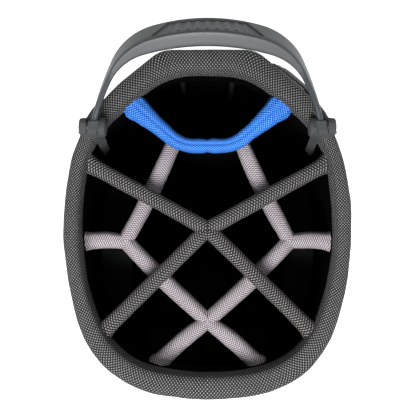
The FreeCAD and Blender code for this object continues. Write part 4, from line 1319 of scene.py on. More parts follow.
@dataclass
class CarryingHandle:
    """The moulded hoop over the back of the rim, with a ribbed panel in its grip, the boots sewn
    round its feet and the fabric rolls and saddles that hold them to the rim."""

    tilt: float = math.radians(33.0)
    pivot: tuple[float, float] = (85.0, 23.5)
    half_span: float = 101.8
    reach: float = 94.3
    arm: float = 5.2
    grip: float = 14.2
    arm_heading: float = math.radians(104.0)
    arm_radius: float = 280.0
    shoulders: tuple[float, float] = (math.radians(116.7), math.radians(114.6))
    grip_heading: float = math.radians(163.4)
    grip_half_width: float = 15.0
    arm_half_width: float = 9.0
    taper: tuple[float, float] = (20.0, 60.0)
    panel: tuple[float, float, float] = (42.5, 11.0, 1.5)
    panel_lean: float = 0.7
    ribs: int = 9
    edge_round: float = 2.6
    boot_radius: float = 7.2
    toggle: tuple[float, float] = (4.5, 12.0)
    wrap_radius: float = 8.05
    slot: float = 4.6
    roll_end: float = 12.2
    saddle_half_width: float = 12.5
    saddle_off: float = 1.6
    tail: float = -54.0
    tail_taper: float = 0.55
    tail_drift: float = 9.0

    def edge(self, half_span: float, reach: float, radius: float, shoulder: float) -> np.ndarray:
        """One edge of the hoop's right half, from its foot to the top.

        Args:
            half_span: Distance from the middle at the foot.
            reach: Height of the top.
            radius: The bowed arm's radius.
            shoulder: Heading where the arm turns in.

        Returns:
            Points (x, reach), with the same count for both edges.
        """
        pen = Pen((half_span, 0.0), self.arm_heading)
        pen.arc(radius, shoulder, 40)
        a, b = math.sin(shoulder) - math.sin(self.grip_heading), math.sin(self.grip_heading)
        c, d = math.cos(shoulder) - math.cos(self.grip_heading), 1 + math.cos(self.grip_heading)
        x, y = pen.at[0], reach - pen.at[1]
        pen.arc((x * d - y * b) / (a * d - b * c), self.grip_heading, 44)
        pen.arc((a * y - c * x) / (a * d - b * c), math.pi, 90)
        return np.concatenate([*pen.points, [[0.0, reach]]])

    def place(self, points: np.ndarray) -> np.ndarray:
        """Carries points on the handle's own axes (across, reach, over) into the bag's frame.

        Args:
            points: Array whose last axis is a place.

        Returns:
            The same array in the bag's frame.
        """
        c, s = math.cos(self.tilt), math.sin(self.tilt)
        x, y, z = points[..., 0], points[..., 1], points[..., 2]
        rim = np.stack([x, y * c - z * s + self.pivot[0], y * s + z * c + self.pivot[1]], -1)
        return RIM.world(rim)

    def half_width(self, y: np.ndarray) -> np.ndarray:
        """Half of the band's width at a reach."""
        foot = self.toggle[0] + (self.arm_half_width - self.toggle[0]) * ease(y, -2, 14)
        return foot + (self.grip_half_width - self.arm_half_width) * ease(y, *self.taper)

    def hoop(self) -> bpy.types.Object:
        """Builds the hoop: a rounded band with a sunk, ribbed panel in its outer face.

        Returns:
            The hoop.
        """
        outer = self.edge(self.half_span, self.reach, self.arm_radius, self.shoulders[0])
        inner = self.edge(
            self.half_span - self.arm, self.reach - self.grip, self.arm_radius - self.arm, self.shoulders[1]
        )
        outer, inner = (np.concatenate([line[:-1], (line * FLIP)[::-1]]) for line in (outer, inner))
        middle, half = (outer + inner) / 2, np.linalg.norm(outer - inner, axis=1) / 2
        out = (outer - inner) / (2 * half[:, None])
        wide = self.half_width(middle[:, 1])
        face = np.linspace(-1, 1, 46)
        corner = np.linspace(0, math.pi / 2, 7)[1:-1]
        half_x, half_w, sink = self.panel
        rows = []
        for centre, way, depth, width in zip(middle, out, half, wide):
            r = min(self.edge_round, depth * 0.85, width * 0.5)
            over = face * (width - r)
            top = np.stack([over, np.full_like(over, depth)], -1)
            inside = ease(half_x + self.panel_lean * over - abs(centre[0]), 0, 2.2)
            inside = inside * ease(half_w - np.abs(over), 0, 1.0) * (centre[1] > self.reach / 2)
            rib = 0.5 + 0.5 * np.cos(2 * math.pi * centre[0] * self.ribs / (2 * half_x - 10))
            lift = rib**2 * ease(half_x - 8 - abs(centre[0]), 0, 2)
            lift = lift * ease(half_w - 2.2 - np.abs(over), 0, 0.8)
            top[:, 1] += -sink * inside + lift * (centre[1] > self.reach / 2)
            top[:, 1] -= 0.4 * bump(np.abs(over), width - r - 0.6, 0.7)
            turn1 = np.stack([width - r + r * np.sin(corner), depth - r + r * np.cos(corner)], -1)
            side = np.stack([np.full(5, width), np.linspace(depth - r, -depth + r, 5)], -1)
            turn2 = np.stack([width - r + r * np.cos(corner), -depth + r - r * np.sin(corner)], -1)
            low = np.stack([-face * (width - r), np.full_like(face, -depth)], -1)
            right = np.concatenate([turn1, side, turn2])
            left = (right * [-1, 1])[::-1]
            loop = np.concatenate([top, right, low, left])
            plan = centre[None] + loop[:, 1:] * way[None]
            rows.append(np.concatenate([plan, loop[:, :1]], -1))
        points = self.place(np.array(rows))
        return lay_grid("handle_hoop", points, sharp=35)

    def toggle_bar(self, side: int) -> bpy.types.Object:
        """The round bar across one foot, with domed ends.

        Args:
            side: 1 for the right side and -1 for the left.

        Returns:
            The bar.
        """
        radius, half = self.toggle
        t = np.linspace(0, math.pi, 40)
        along = -np.cos(t) * half
        size = radius * np.sin(t) ** 0.25
        turn = 2 * math.pi * np.arange(28) / 28
        x = side * (self.half_span - self.arm / 2) + along[1:-1, None] + 0 * turn[None]
        y = size[1:-1, None] * np.cos(turn)[None]
        z = size[1:-1, None] * np.sin(turn)[None]
        return lay_grid("toggle", self.place(np.stack([x, y, z], -1)))

    def boot(self, side: int) -> bpy.types.Object:
        """The strip of webbing folded round one foot's bar and sewn to both faces of the arm.

        Args:
            side: 1 for the right side and -1 for the left.

        Returns:
            The webbing.
        """
        rise = np.linspace(11.0, 2.0, 12)
        wide = self.half_width(rise) + 0.9
        turn = np.linspace(0, math.pi, 30)[1:-1]
        bottom = self.boot_radius * np.stack([-np.sin(turn), np.cos(turn)], -1)
        line = np.concatenate([np.stack([rise, wide], -1), bottom, np.stack([rise, -wide], -1)[::-1]])
        out = left_of(line)
        out *= np.sign((out * (line - [12, 0])).sum(1).mean())
        section = ring(26, self.slot - 0.2, 1.1, 5.0)
        middle = self.half_span - self.arm / 2 - line[:, 0] / math.tan(math.pi - self.arm_heading)
        rows = line[:, None] + section[None, :, 1:] * out[:, None]
        across = middle[:, None] + section[None, :, 0]
        swell = 0.25 * ripple(np.stack([across, rows[..., 0], rows[..., 1]], -1), 60 + side, 6.0)
        rows = rows + swell[..., None] * out[:, None] * np.sign(section[None, :, 1:])
        points = np.concatenate([side * across[..., None], rows], -1)
        return lay_grid(f"boot_{SIDES[side]}_webbing", self.place(points))

    def roll(self, side: int, near: float, far: float, seed: int) -> bpy.types.Object:
        """One wrinkled roll of fabric round the toggle bar, drawn down onto the rim.

        Args:
            side: 1 for the right side and -1 for the left.
            near: Where it starts, from the middle of the foot.
            far: Where it ends.
            seed: Fixes its wrinkles.

        Returns:
            The roll.
        """
        count = 64
        turn = 2 * math.pi * np.arange(count) / count
        share = np.linspace(0, 1, 22)
        middle = self.half_span - self.arm / 2
        lows = np.clip(-np.sin(turn), 0, 1) ** 1.5
        y = self.wrap_radius * np.cos(turn) * (1 + 0.15 * lows)
        z = self.wrap_radius * np.sin(turn) * (1 + 0.42 * lows)
        edge = 1 - share if abs(far) > abs(near) else share
        round_end = np.sqrt(1 - (1 - np.clip(edge * 3.2, 0.02, 1)) ** 2)
        x = near + (far - near) * share
        place = np.stack(np.broadcast_arrays(x[:, None], y[None], z[None]), -1)
        wrinkle = 0.55 * ripple(place * [0.5, 1, 1], seed, 5.0)
        wrinkle = wrinkle + 0.35 * np.sin(5 * turn + 2.0 * x[:, None] / 5)
        scale = round_end[:, None] * (1 + wrinkle / self.wrap_radius * 0.6)
        spread = np.stack([
            side * (middle + x[:, None] + 0 * y[None]),
            self.pivot[0] + y[None] * scale, self.pivot[1] + z[None] * scale,
        ], -1)
        return lay_grid("roll", RIM.world(spread))

    def saddle(self, side: int) -> bpy.types.Object:
        """The strip over the rim that carries a roll: up the outside, over the crown and down
        inside, where its tail hangs free.

        Args:
            side: 1 for the right side and -1 for the left.

        Returns:
            The strip.
        """
        outer, _ = OUTER.loop()
        inner, _ = MOUTH.loop()
        middle = np.array([self.half_span - self.arm / 2, self.pivot[0]])
        centre = (outer + inner) / 2
        seat = int(np.argmin(np.linalg.norm(centre - middle, axis=1)))
        run = walked(centre)
        run -= run[seat]
        wide = np.linspace(-self.saddle_half_width, self.saddle_half_width, 30)
        o = np.stack([np.interp(wide, run, outer[:, k]) for k in (0, 1)], -1)
        i = np.stack([np.interp(wide, run, inner[:, k]) for k in (0, 1)], -1)
        t, z = RimPad().section()
        keep = (z > self.tail) & ~((t > 0.01) & (t < 0.99) & (z < -40))
        t, z = t[keep], z[keep]
        line = o[:, None] * (1 - t)[None, :, None] + i[:, None] * t[None, :, None]
        sheet = raised(line, z[None])
        normal = outward_of(sheet, (False, False))
        mid = sheet.mean(axis=(0, 1))
        if (normal[:, :4] * (sheet[:, :4] - mid)).sum() < 0:
            normal = -normal
        lean = 1 - self.tail_taper * ease(t, 0.45, 0.95)
        core = sheet.mean(axis=0, keepdims=True)
        sheet = core + (sheet - core) * lean[None, :, None]
        sheet[..., 1] -= self.tail_drift * (ease(-z, 4, 50) * (t > 0.6))[None, :]
        lift = self.saddle_off + 0.35 * ripple(sheet, 70 + side, 14.0)
        hang = 0.8 * ease(-z, 5, 42)[None, :] * (t > 0.99)[None, :] * (1 + 0.25 * np.sin(wide / 5))[:, None]
        top = sheet + normal * (lift + 1.1)[..., None]
        low = sheet + normal * (lift - 1.1)[..., None]
        top, low = top + normal * hang[..., None], low + normal * hang[..., None]
        loop = np.concatenate([top.transpose(1, 0, 2), low.transpose(1, 0, 2)[:, ::-1]], axis=1)
        loop = loop * [side, 1, 1]
        return lay_grid("saddle", RIM.world(loop), sharp=50)

    def build(self, wardrobe: Wardrobe) -> None:
        """Builds and dresses the handle, its boots and its loops.

        Args:
            wardrobe: Holds the finishes.
        """
        hoop = merged("handle_moulding", [self.hoop(), self.toggle_bar(1), self.toggle_bar(-1)])
        hoop.data.set_sharp_from_angle(angle=math.radians(35))
        finished(wardrobe.dress(hoop, "handle_rubber"), "handle", "handle_rubber", "carrying_handle")
        gap, end = self.slot + 0.5, self.roll_end
        for side, name in SIDES.items():
            boot = wardrobe.dress(self.boot(side), "grey_webbing")
            finished(boot, "handle", "grey_webbing", f"handle_boot_{name}")
            parts = [self.roll(side, gap, end, 81), self.roll(side, -end, -gap, 82), self.saddle(side)]
            loop = wardrobe.dress(merged(f"rim_loop_{name}", parts), "grey_webbing")
            finished(loop, "bag", "grey_webbing", f"handle_loop_{name}")


# ---------------------------------------------------------------- body and dividers


@dataclass
class BagBody:
    """The fabric tube between the base and the rim: seams up its corners, slack between the stays, and a
    near-black lining inside whose colour also paints the shade in the bag's depth."""

    wall: float = 3.0
    low: float = 7.2
    clearance: float = 0.2
    sag: float = 1.6
    seams: tuple[float, ...] = (0.13, 0.345, 0.655, 0.87)
    seam_depth: float = 0.9
    bands: tuple[float, ...] = (84.0, 785.0)
    band_depth: float = 0.8
    stitch_off: int = 7
    rows: int = 150

    def top(self, y: np.ndarray) -> np.ndarray:
        """Height of the rim pad's underside over a plan place."""
        return RIM.height + RIM.bottom * math.cos(RIM.slant) + y * math.tan(RIM.slant)

    def grid(self) -> tuple[np.ndarray, np.ndarray]:
        """Samples the outer face.

        Returns:
            Points (around, up, 3) and plan normals (around, 2).
        """
        plan, out = OUTER.inset(BODY_INSET).loop()
        share = np.linspace(0, 1, self.rows)
        top = self.top(plan[:, 1]) - self.clearance
        z = self.low + (top[:, None] - self.low) * share[None, :]
        return raised(plan, z), out

    def build(self, wardrobe: Wardrobe) -> None:
        """Builds the body, its lining and the stitches along its seams.

        Args:
            wardrobe: Holds the finishes.
        """
        points, out = self.grid()
        around = np.linspace(0, 1, len(points), endpoint=False)[:, None]
        z = points[..., 2]
        slack = ease(z, 75, 160) * ease(-z, -800, -700)
        folds = ripple(points * [1, 1, 0.45], 91, 120.0) * self.sag + ripple(points, 92, 34.0) * 0.5
        height = -0.4 + np.minimum(folds, 1.2) * slack
        for seam in self.seams:
            height = height - self.seam_depth * bump(around, seam, 0.0018)
            height = height + 0.5 * bump(np.abs(around - seam), 0.006, 0.003)
        for level in self.bands:
            height = height - self.band_depth * bump(z, level, 1.8)
        way = raised(out, np.zeros(1))
        face = points + way * height[..., None]
        lining = points - way * self.wall
        lining = lining + way * (0.25 * ripple(points, 93, 60.0))[..., None]
        loop = np.concatenate([face, lining[:, ::-1]], axis=1)
        body = lay_grid("body_cover", loop, (True, True), sharp=60)
        # The inner face takes the near-black lining, which also paints the shade inside the tube.
        wardrobe.dress(body, "charcoal_fabric", "black_lining")
        columns = loop.shape[1]
        inside = (np.arange(len(body.data.polygons)) % columns >= self.rows).astype(np.int32)
        body.data.polygons.foreach_set("material_index", inside)
        finished(body, "bag", "charcoal_fabric", "body_shell")
        paths = []
        for seam in self.seams:
            for off in (-self.stitch_off, self.stitch_off):
                row = (int(seam * len(points)) + off) % len(points)
                line = face[row, 20:-12] + way[row] * 0.15
                paths.append((line, np.repeat(way[row], len(line), 0)))
        stitches = STITCH.run("body_seam_stitches", paths, "grey_thread")
        finished(stitches, "bag", "charcoal_fabric")


def crossing(a: Plan, c: Plan, d: Plan, e: Plan) -> Plan:
    """Where the line from a to c meets the line from d to e.

    Args:
        a: A plan place on the first line.
        c: Another place on it.
        d: A plan place on the second line.
        e: Another place on it.

    Returns:
        The place that they share.
    """
    r, s = np.subtract(c, a), np.subtract(e, d)
    t = ((d[0] - a[0]) * s[1] - (d[1] - a[1]) * s[0]) / (r[0] * s[1] - r[1] * s[0])
    return a[0] + t * r[0], a[1] + t * r[1]


@dataclass
class Dividers:
    """The full-length lining walls under the bars."""

    floor: float = 8.2
    half: float = 0.5
    gap: float = 1.1
    bars: DividerBars = field(default_factory=DividerBars)

    def under(self, point: np.ndarray, level: float) -> np.ndarray:
        """Plan place in the bag's frame under a point of a bar.

        Args:
            point: Plan places on the bar, in the rim frame.
            level: Height of the bar's middle, in the rim frame.

        Returns:
            Plan places in the bag's frame.
        """
        low = level - self.bars.height / 2
        drop = (RIM.bottom - low) * math.sin(RIM.slant)
        return np.stack([point[..., 0], point[..., 1] * math.cos(RIM.slant) + drop], -1)

    def wall(self, name: str, line: np.ndarray, level: float, seed: int) -> tuple[bpy.types.Object, float]:
        """One upright sheet.

        Args:
            name: Object name.
            line: Plan points of its foot, in the rim frame.
            level: Height of the bar over it, in the rim frame.
            seed: Fixes its folds.

        Returns:
            The sheet and its length along the foot.
        """
        foot = self.under(line, level)
        high = level - self.bars.height / 2 + 1.0
        top = RIM.height + high * math.cos(RIM.slant) + foot[:, 1] * math.tan(RIM.slant)
        share = np.linspace(0, 1, 60)
        z = self.floor + (top[:, None] - self.floor) * share[None]
        points = raised(foot, z)
        wave = 0.5 * ripple(points * [1, 1, 0.5], seed, 70.0) * np.sin(np.pi * share)[None]
        way = raised(left_of(foot), np.zeros(1))
        front = points + way * (wave + self.half)[..., None]
        back = points + way * (wave - self.half)[..., None]
        loop = np.concatenate([front, back[:, ::-1]], axis=1)
        return lay_grid(name, loop, sharp=60), float(walked(foot)[-1])

    def cut(self, start: Plan, end: Plan, near: float, far: float) -> np.ndarray:
        """Points of a line between two ends, stopped short of each by a distance.

        Args:
            start: One end.
            end: The other end.
            near: Length left out at the start.
            far: Length left out at the end.

        Returns:
            (14, 2) points.
        """
        a, b = np.array(start), np.array(end)
        way = unit(b - a)
        a, b = a + way * near, b - way * far
        return a + (b - a) * np.linspace(0, 1, 14)[:, None]

    def to_body(self, start: Plan, end: Plan) -> Plan:
        """Where a bar's line meets the inside of the mouth."""
        hit = mouth_hit(np.array(start), np.array(end))
        return float(hit[0]), float(hit[1])

    def build(self, wardrobe: Wardrobe) -> None:
        """Builds every wall.

        Args:
            wardrobe: Holds the finishes.
        """
        b = self.bars
        upper, lower = b.upper, b.lower
        cross = [
            (self.cut(b.cross, self.to_body(b.cross, e), 0.0, self.gap), upper)
            for e in (b.cross_back_end, b.cross_front_end)
        ]
        back = crossing(b.cross, b.cross_back_end, b.side_node, b.yoke_rest)
        front = crossing(b.cross, b.cross_front_end, b.side_node, b.front_node)
        side = [
            self.cut(b.side_node, back, 0.0, self.gap),
            self.cut(b.side_node, front, 0.0, self.gap),
            self.cut(b.side_node, self.to_body(b.side_node, b.side_end), 0.0, self.gap),
        ]
        link = [self.cut(back, b.yoke_rest, self.gap, 2.5)]
        fore = [
            self.cut(front, b.front_node, self.gap, 0.0),
            self.cut(b.front_node, self.to_body(b.front_node, b.front_end), 0.0, self.gap),
        ]
        groups = {
            "divider_cross": [*cross, *((line * FLIP, z) for line, z in cross)],
            "divider_putter": [(b.yoke_line()[3:-3], upper)],
            "divider_front": [(x, lower) for line in fore for x in (line, line * FLIP)],
            "divider_side_right": [(x, lower) for x in side],
            "divider_side_left": [(x * FLIP, lower) for x in side],
            "divider_link_right": [(x, lower) for x in link],
            "divider_link_left": [(x * FLIP, lower) for x in link],
        }
        for seed, (node, lines) in enumerate(groups.items()):
            walls, total = [], 0.0
            for k, (line, level) in enumerate(lines):
                wall, length = self.wall(f"{node}_{k}", line, level, 200 + 10 * seed + k)
                walls.append(wall)
                total += length
            # The near-black lining finish also paints the shade down between the divider walls.
            piece = wardrobe.dress(merged(node + "_lining", walls), "black_lining")
            finished(piece, "bag", "black_lining", node)


# ---------------------------------------------------------------- pockets


@dataclass
class Pocket:
    """A plump zipped pocket, drawn facing +X, with piping round its face and a sewn-in zip."""

    name: str
    profile: tuple[tuple[float, float], ...]
    half_width: float
    zip_length: float
    zip_low: float
    zip_across: float
    upright: bool
    turn: float = 0.0
    shift: float = 0.0
    mirrored: bool = False
    corner: float = 30.0
    tape_half: float = 13.0
    piping: float = 1.9
    seed: int = 1
    end_round: float = 9.0
    tuck: float = 7.0
    skin: float = 0.6
    teeth_off: float = 1.35
    teeth_level: float = 1.3
    stitch_off: float = 10.8
    stitch_level: float = 0.95

    def place(self, points: np.ndarray) -> np.ndarray:
        """Carries points drawn facing +X onto the bag.

        Args:
            points: Array whose last axis is a place.

        Returns:
            The same array in the bag's frame.
        """
        c, s = math.cos(self.turn), math.sin(self.turn)
        x, y, z = points[..., 0], points[..., 1], points[..., 2]
        x, y = x * c - y * s, x * s + y * c + self.shift
        return np.stack([-x if self.mirrored else x, y, z], -1)

    def depth(self, z: np.ndarray) -> np.ndarray:
        """How far out the pocket's face stands at a height, with soft corners in its profile.

        Args:
            z: Heights.

        Returns:
            Distances out from the middle of the bag.
        """
        d, h = np.array(self.profile).T
        fine = np.linspace(h[0], h[-1], 400)
        raw = np.interp(fine, h, d)
        kernel = np.hanning(17)
        soft = np.convolve(np.pad(raw, 8, mode="edge"), kernel / kernel.sum(), mode="valid")
        return np.interp(z, fine, soft)

    def face(self) -> tuple[np.ndarray, np.ndarray]:
        """The pocket's shell as a grid.

        Returns:
            Points (up, around, 3) and the heights.
        """
        low, high = self.profile[0][1], self.profile[-1][1]
        end = self.end_round
        rim = np.sin(np.linspace(0, math.pi / 2, 12)) * end
        flank = np.linspace(low + end, high - end, 90)[1:-1]
        z = np.concatenate([low + end - rim[::-1], flank, high - end + rim])
        root = min(self.profile[0][0], self.profile[-1][0])
        rows = []
        for height in z:
            near_end = max(0.0, 1 - min(height - low, high - height) / end)
            tuck = self.tuck * (1 - math.sqrt(max(0.0, 1 - near_end**2)))
            out = float(self.depth(np.array(height))) - self.skin - tuck
            wide = self.half_width - self.skin - tuck
            r = min(self.corner, (out - root) * 0.8)
            t = np.linspace(0, math.pi / 2, 16)
            side = np.linspace(root, out - r, 10, endpoint=False)
            flat = np.linspace(-(wide - r), wide - r, 60)[1:-1]
            first = np.stack([side, np.full_like(side, -wide)], -1)
            turn1 = np.stack([out - r + r * np.sin(t), -(wide - r) - r * np.cos(t)], -1)
            front = np.stack([np.full_like(flat, out), flat], -1)
            half = np.concatenate([first, turn1, front])
            plan = np.concatenate([half, (np.concatenate([first, turn1]) * [1, -1])[::-1]])
            rows.append(np.concatenate([plan, np.full((len(plan), 1), height)], -1))
        return np.array(rows), z

    def build(self, wardrobe: Wardrobe) -> None:
        """Builds the pocket, its piping, its seams and its zip.

        Args:
            wardrobe: Holds the finishes.
        """
        points, z = self.face()
        d, y = points[..., 0], points[..., 1]
        out = outward_of(points, (False, False))
        if out[:, 40, 0].mean() < 0:
            out = -out
        low, high = z[0], z[-1]
        middle = ease(z[:, None], low, low + 40) * ease(-z[:, None], -high, -high + 30)
        across = ease(self.half_width - np.abs(y), 2, 26)
        depth_in = ease(d, d.min() + 14, d.min() + 30)
        crown = 0.4 * middle * across * depth_in
        fold = ripple(points * [0.6, 1, 0.5], self.seed, 60.0) * 0.8
        fold = fold + ripple(points, self.seed + 1, 19.0) * 0.35
        height = crown + np.minimum(fold, 0.9) * middle * depth_in - 0.5
        zip_z, zip_y = self.zip_zone(points)
        height = height * (1 - zip_z * zip_y) - 0.75 * zip_z * zip_y
        seam_z = np.abs(y) - (self.half_width - 12)
        height = height - 0.7 * bump(seam_z, 0.0, 1.3) * depth_in
        shell = points + out * height[..., None]
        piece = lay_grid(f"{self.name}_cover", self.place(shell), sharp=60)
        finished(wardrobe.dress(piece, "pocket_fabric"), "bag", "pocket_fabric", self.name)

        edge = self.piping_line(shell, out)
        tube = cord_tube(f"{self.name}_piping", self.place(edge), self.piping, closed=True)
        finished(wardrobe.dress(tube, "black_webbing"), "bag", "pocket_fabric")
        self.zip(wardrobe)

    def zip_zone(self, points: np.ndarray) -> tuple[np.ndarray, np.ndarray]:
        """Masks of the flat strip that the zip's tape is sewn to.

        Args:
            points: The shell's grid.

        Returns:
            Two masks from 0 to 1, whose product is the strip.
        """
        y, z = points[..., 1], points[..., 2]
        if self.upright:
            high = self.zip_low + self.zip_length
            along = ease(z, self.zip_low - 12, self.zip_low - 4) * ease(-z, -(high + 12), -(high + 4))
            across = ease(self.tape_half + 5 - np.abs(y - self.zip_across), 0, 4)
        else:
            along = ease(self.tape_half + 5 - np.abs(z - self.zip_low), 0, 4)
            across = ease(self.zip_length / 2 + 12 - np.abs(y), 0, 5)
        front = ease(points[..., 0], points[..., 0].max() - 45, points[..., 0].max() - 40)
        return along * front, across

    def piping_line(self, shell: np.ndarray, out: np.ndarray) -> np.ndarray:
        """Closed line round the pocket's face, where its panel meets its gusset.

        Args:
            shell: The shell's grid.
            out: Its outward ways.

        Returns:
            (n, 3) points.
        """
        rows, cols = shell.shape[:2]
        first, last = 19, cols - 20
        low, high = 13, rows - 14
        line, way = (
            np.concatenate([
                grid[low:high, first], grid[high, first:last],
                grid[low + 1 : high + 1, last][::-1], grid[low, first + 1 : last + 1][::-1],
            ])
            for grid in (shell, out)
        )
        kernel = np.hanning(9)
        kernel /= kernel.sum()
        soft = np.stack([
            np.convolve(np.concatenate([line[-8:, k], line[:, k], line[:8, k]]), kernel, mode="same")[8:-8]
            for k in range(3)
        ], -1)
        return soft + way * 0.3

    def zip(self, wardrobe: Wardrobe) -> None:
        """The zip's tape, its teeth and its stitches, following the CAD zip's place.

        Args:
            wardrobe: Holds the finishes.
        """
        level = np.array([0.0, 1.0, 0.0])
        if self.upright:
            low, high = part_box(f"{self.name}_zip")
            end, start = self.face_line(np.array([low[2] / MM + 6, high[2] / MM - 6]))
            along, side, length = unit(end - start), level, float(np.linalg.norm(end - start))
        else:
            along, side, length = level, self.slope(), self.zip_length
            start = self.zip_start(side)
        normal = np.cross(along, side)
        normal *= np.sign(normal[0])
        share = np.linspace(0, 1, 60)[:, None]
        outward = np.repeat(self.way(normal)[None], len(share), 0)
        section = ring(28, self.tape_half, 0.42, 6.0) + [0.0, 0.42]
        tape = swept(start + along * (-6 + (length + 12) * share), section, side, normal)
        piece = lay_grid(f"{self.name}_zip_tape", self.place(tape), sharp=70)
        wardrobe.dress(piece, "black_webbing")
        rows, seams = [], []
        for sign, shift in ((-1, 0.0), (1, TOOTH.spacing / 2)):
            line = start + along * (1 + shift + (length - 3) * share) + side * (self.teeth_off * sign)
            rows.append((self.place(line + normal * self.teeth_level), outward))
            line = start + along * (-3 + (length + 6) * share) + side * (self.stitch_off * sign)
            seams.append((self.place(line + normal * self.stitch_level), outward))
        teeth = TOOTH.run(f"{self.name}_zip_teeth", rows, "black_plastic")
        finished(piece, "bag", "black_webbing", f"{self.name}_zip")
        finished(teeth, "bag", "black_webbing")
        finished(STITCH.run(f"{self.name}_zip_stitches", seams, "grey_thread"), "bag", "black_webbing")

    def way(self, normal: np.ndarray) -> np.ndarray:
        """A direction drawn facing +X, turned onto the bag."""
        return self.place(normal) - self.place(np.zeros(3))

    def slope(self) -> np.ndarray:
        """Unit direction up the pocket's outer face."""
        (d0, z0), (d1, z1) = self.profile[2], self.profile[3]
        return unit(np.array([d1 - d0, 0.0, z1 - z0]))

    def zip_start(self, up: np.ndarray) -> np.ndarray:
        """First point of a level zip's middle line.

        Args:
            up: Direction up the pocket's face.

        Returns:
            The point.
        """
        d1, z1 = self.profile[3]
        along_face = (z1 - self.zip_low) / up[2]
        return np.array([d1, -self.zip_length / 2, z1]) - up * along_face

    def face_line(self, heights: np.ndarray) -> np.ndarray:
        """Points of an upright zip's middle line at two heights.

        Args:
            heights: The two heights.

        Returns:
            (2, 3) points.
        """
        (d0, z0), (d1, z1) = self.profile[2], self.profile[3]
        d = d0 + (heights - z0) / (z1 - z0) * (d1 - d0)
        return np.stack([d, np.full(2, self.zip_across - self.shift), heights], -1)


def pocket_set() -> tuple[Pocket, ...]:
    """The bag's four pockets.

    Returns:
        Two at the front and one on each side.
    """
    front_lower = ((190, 96), (190, 96.5), (204, 112), (194, 322), (176, 345), (110, 352))
    front_upper = ((176, 366), (176, 366.5), (189, 382), (177, 582), (162, 600), (110, 606))
    side = ((152, 96), (152, 96.5), (168, 116), (147, 676), (134, 698), (80, 706))
    quarter = -math.pi / 2
    sides = {"half_width": 62.0, "zip_length": 469.7, "zip_low": 172.4, "zip_across": -27.0,
             "upright": True, "shift": -15.0}
    return (
        Pocket("front_lower_pocket", front_lower, 74.0, 84.0, 298.03, 0.0, False, quarter, seed=311),
        Pocket("front_upper_pocket", front_upper, 74.0, 84.0, 558.04, 0.0, False, quarter, seed=321),
        Pocket("side_pocket_right", side, seed=331, **sides),
        Pocket("side_pocket_left", side, seed=341, mirrored=True, **sides),
    )


# ---------------------------------------------------------------- strap, towel tab and hardware


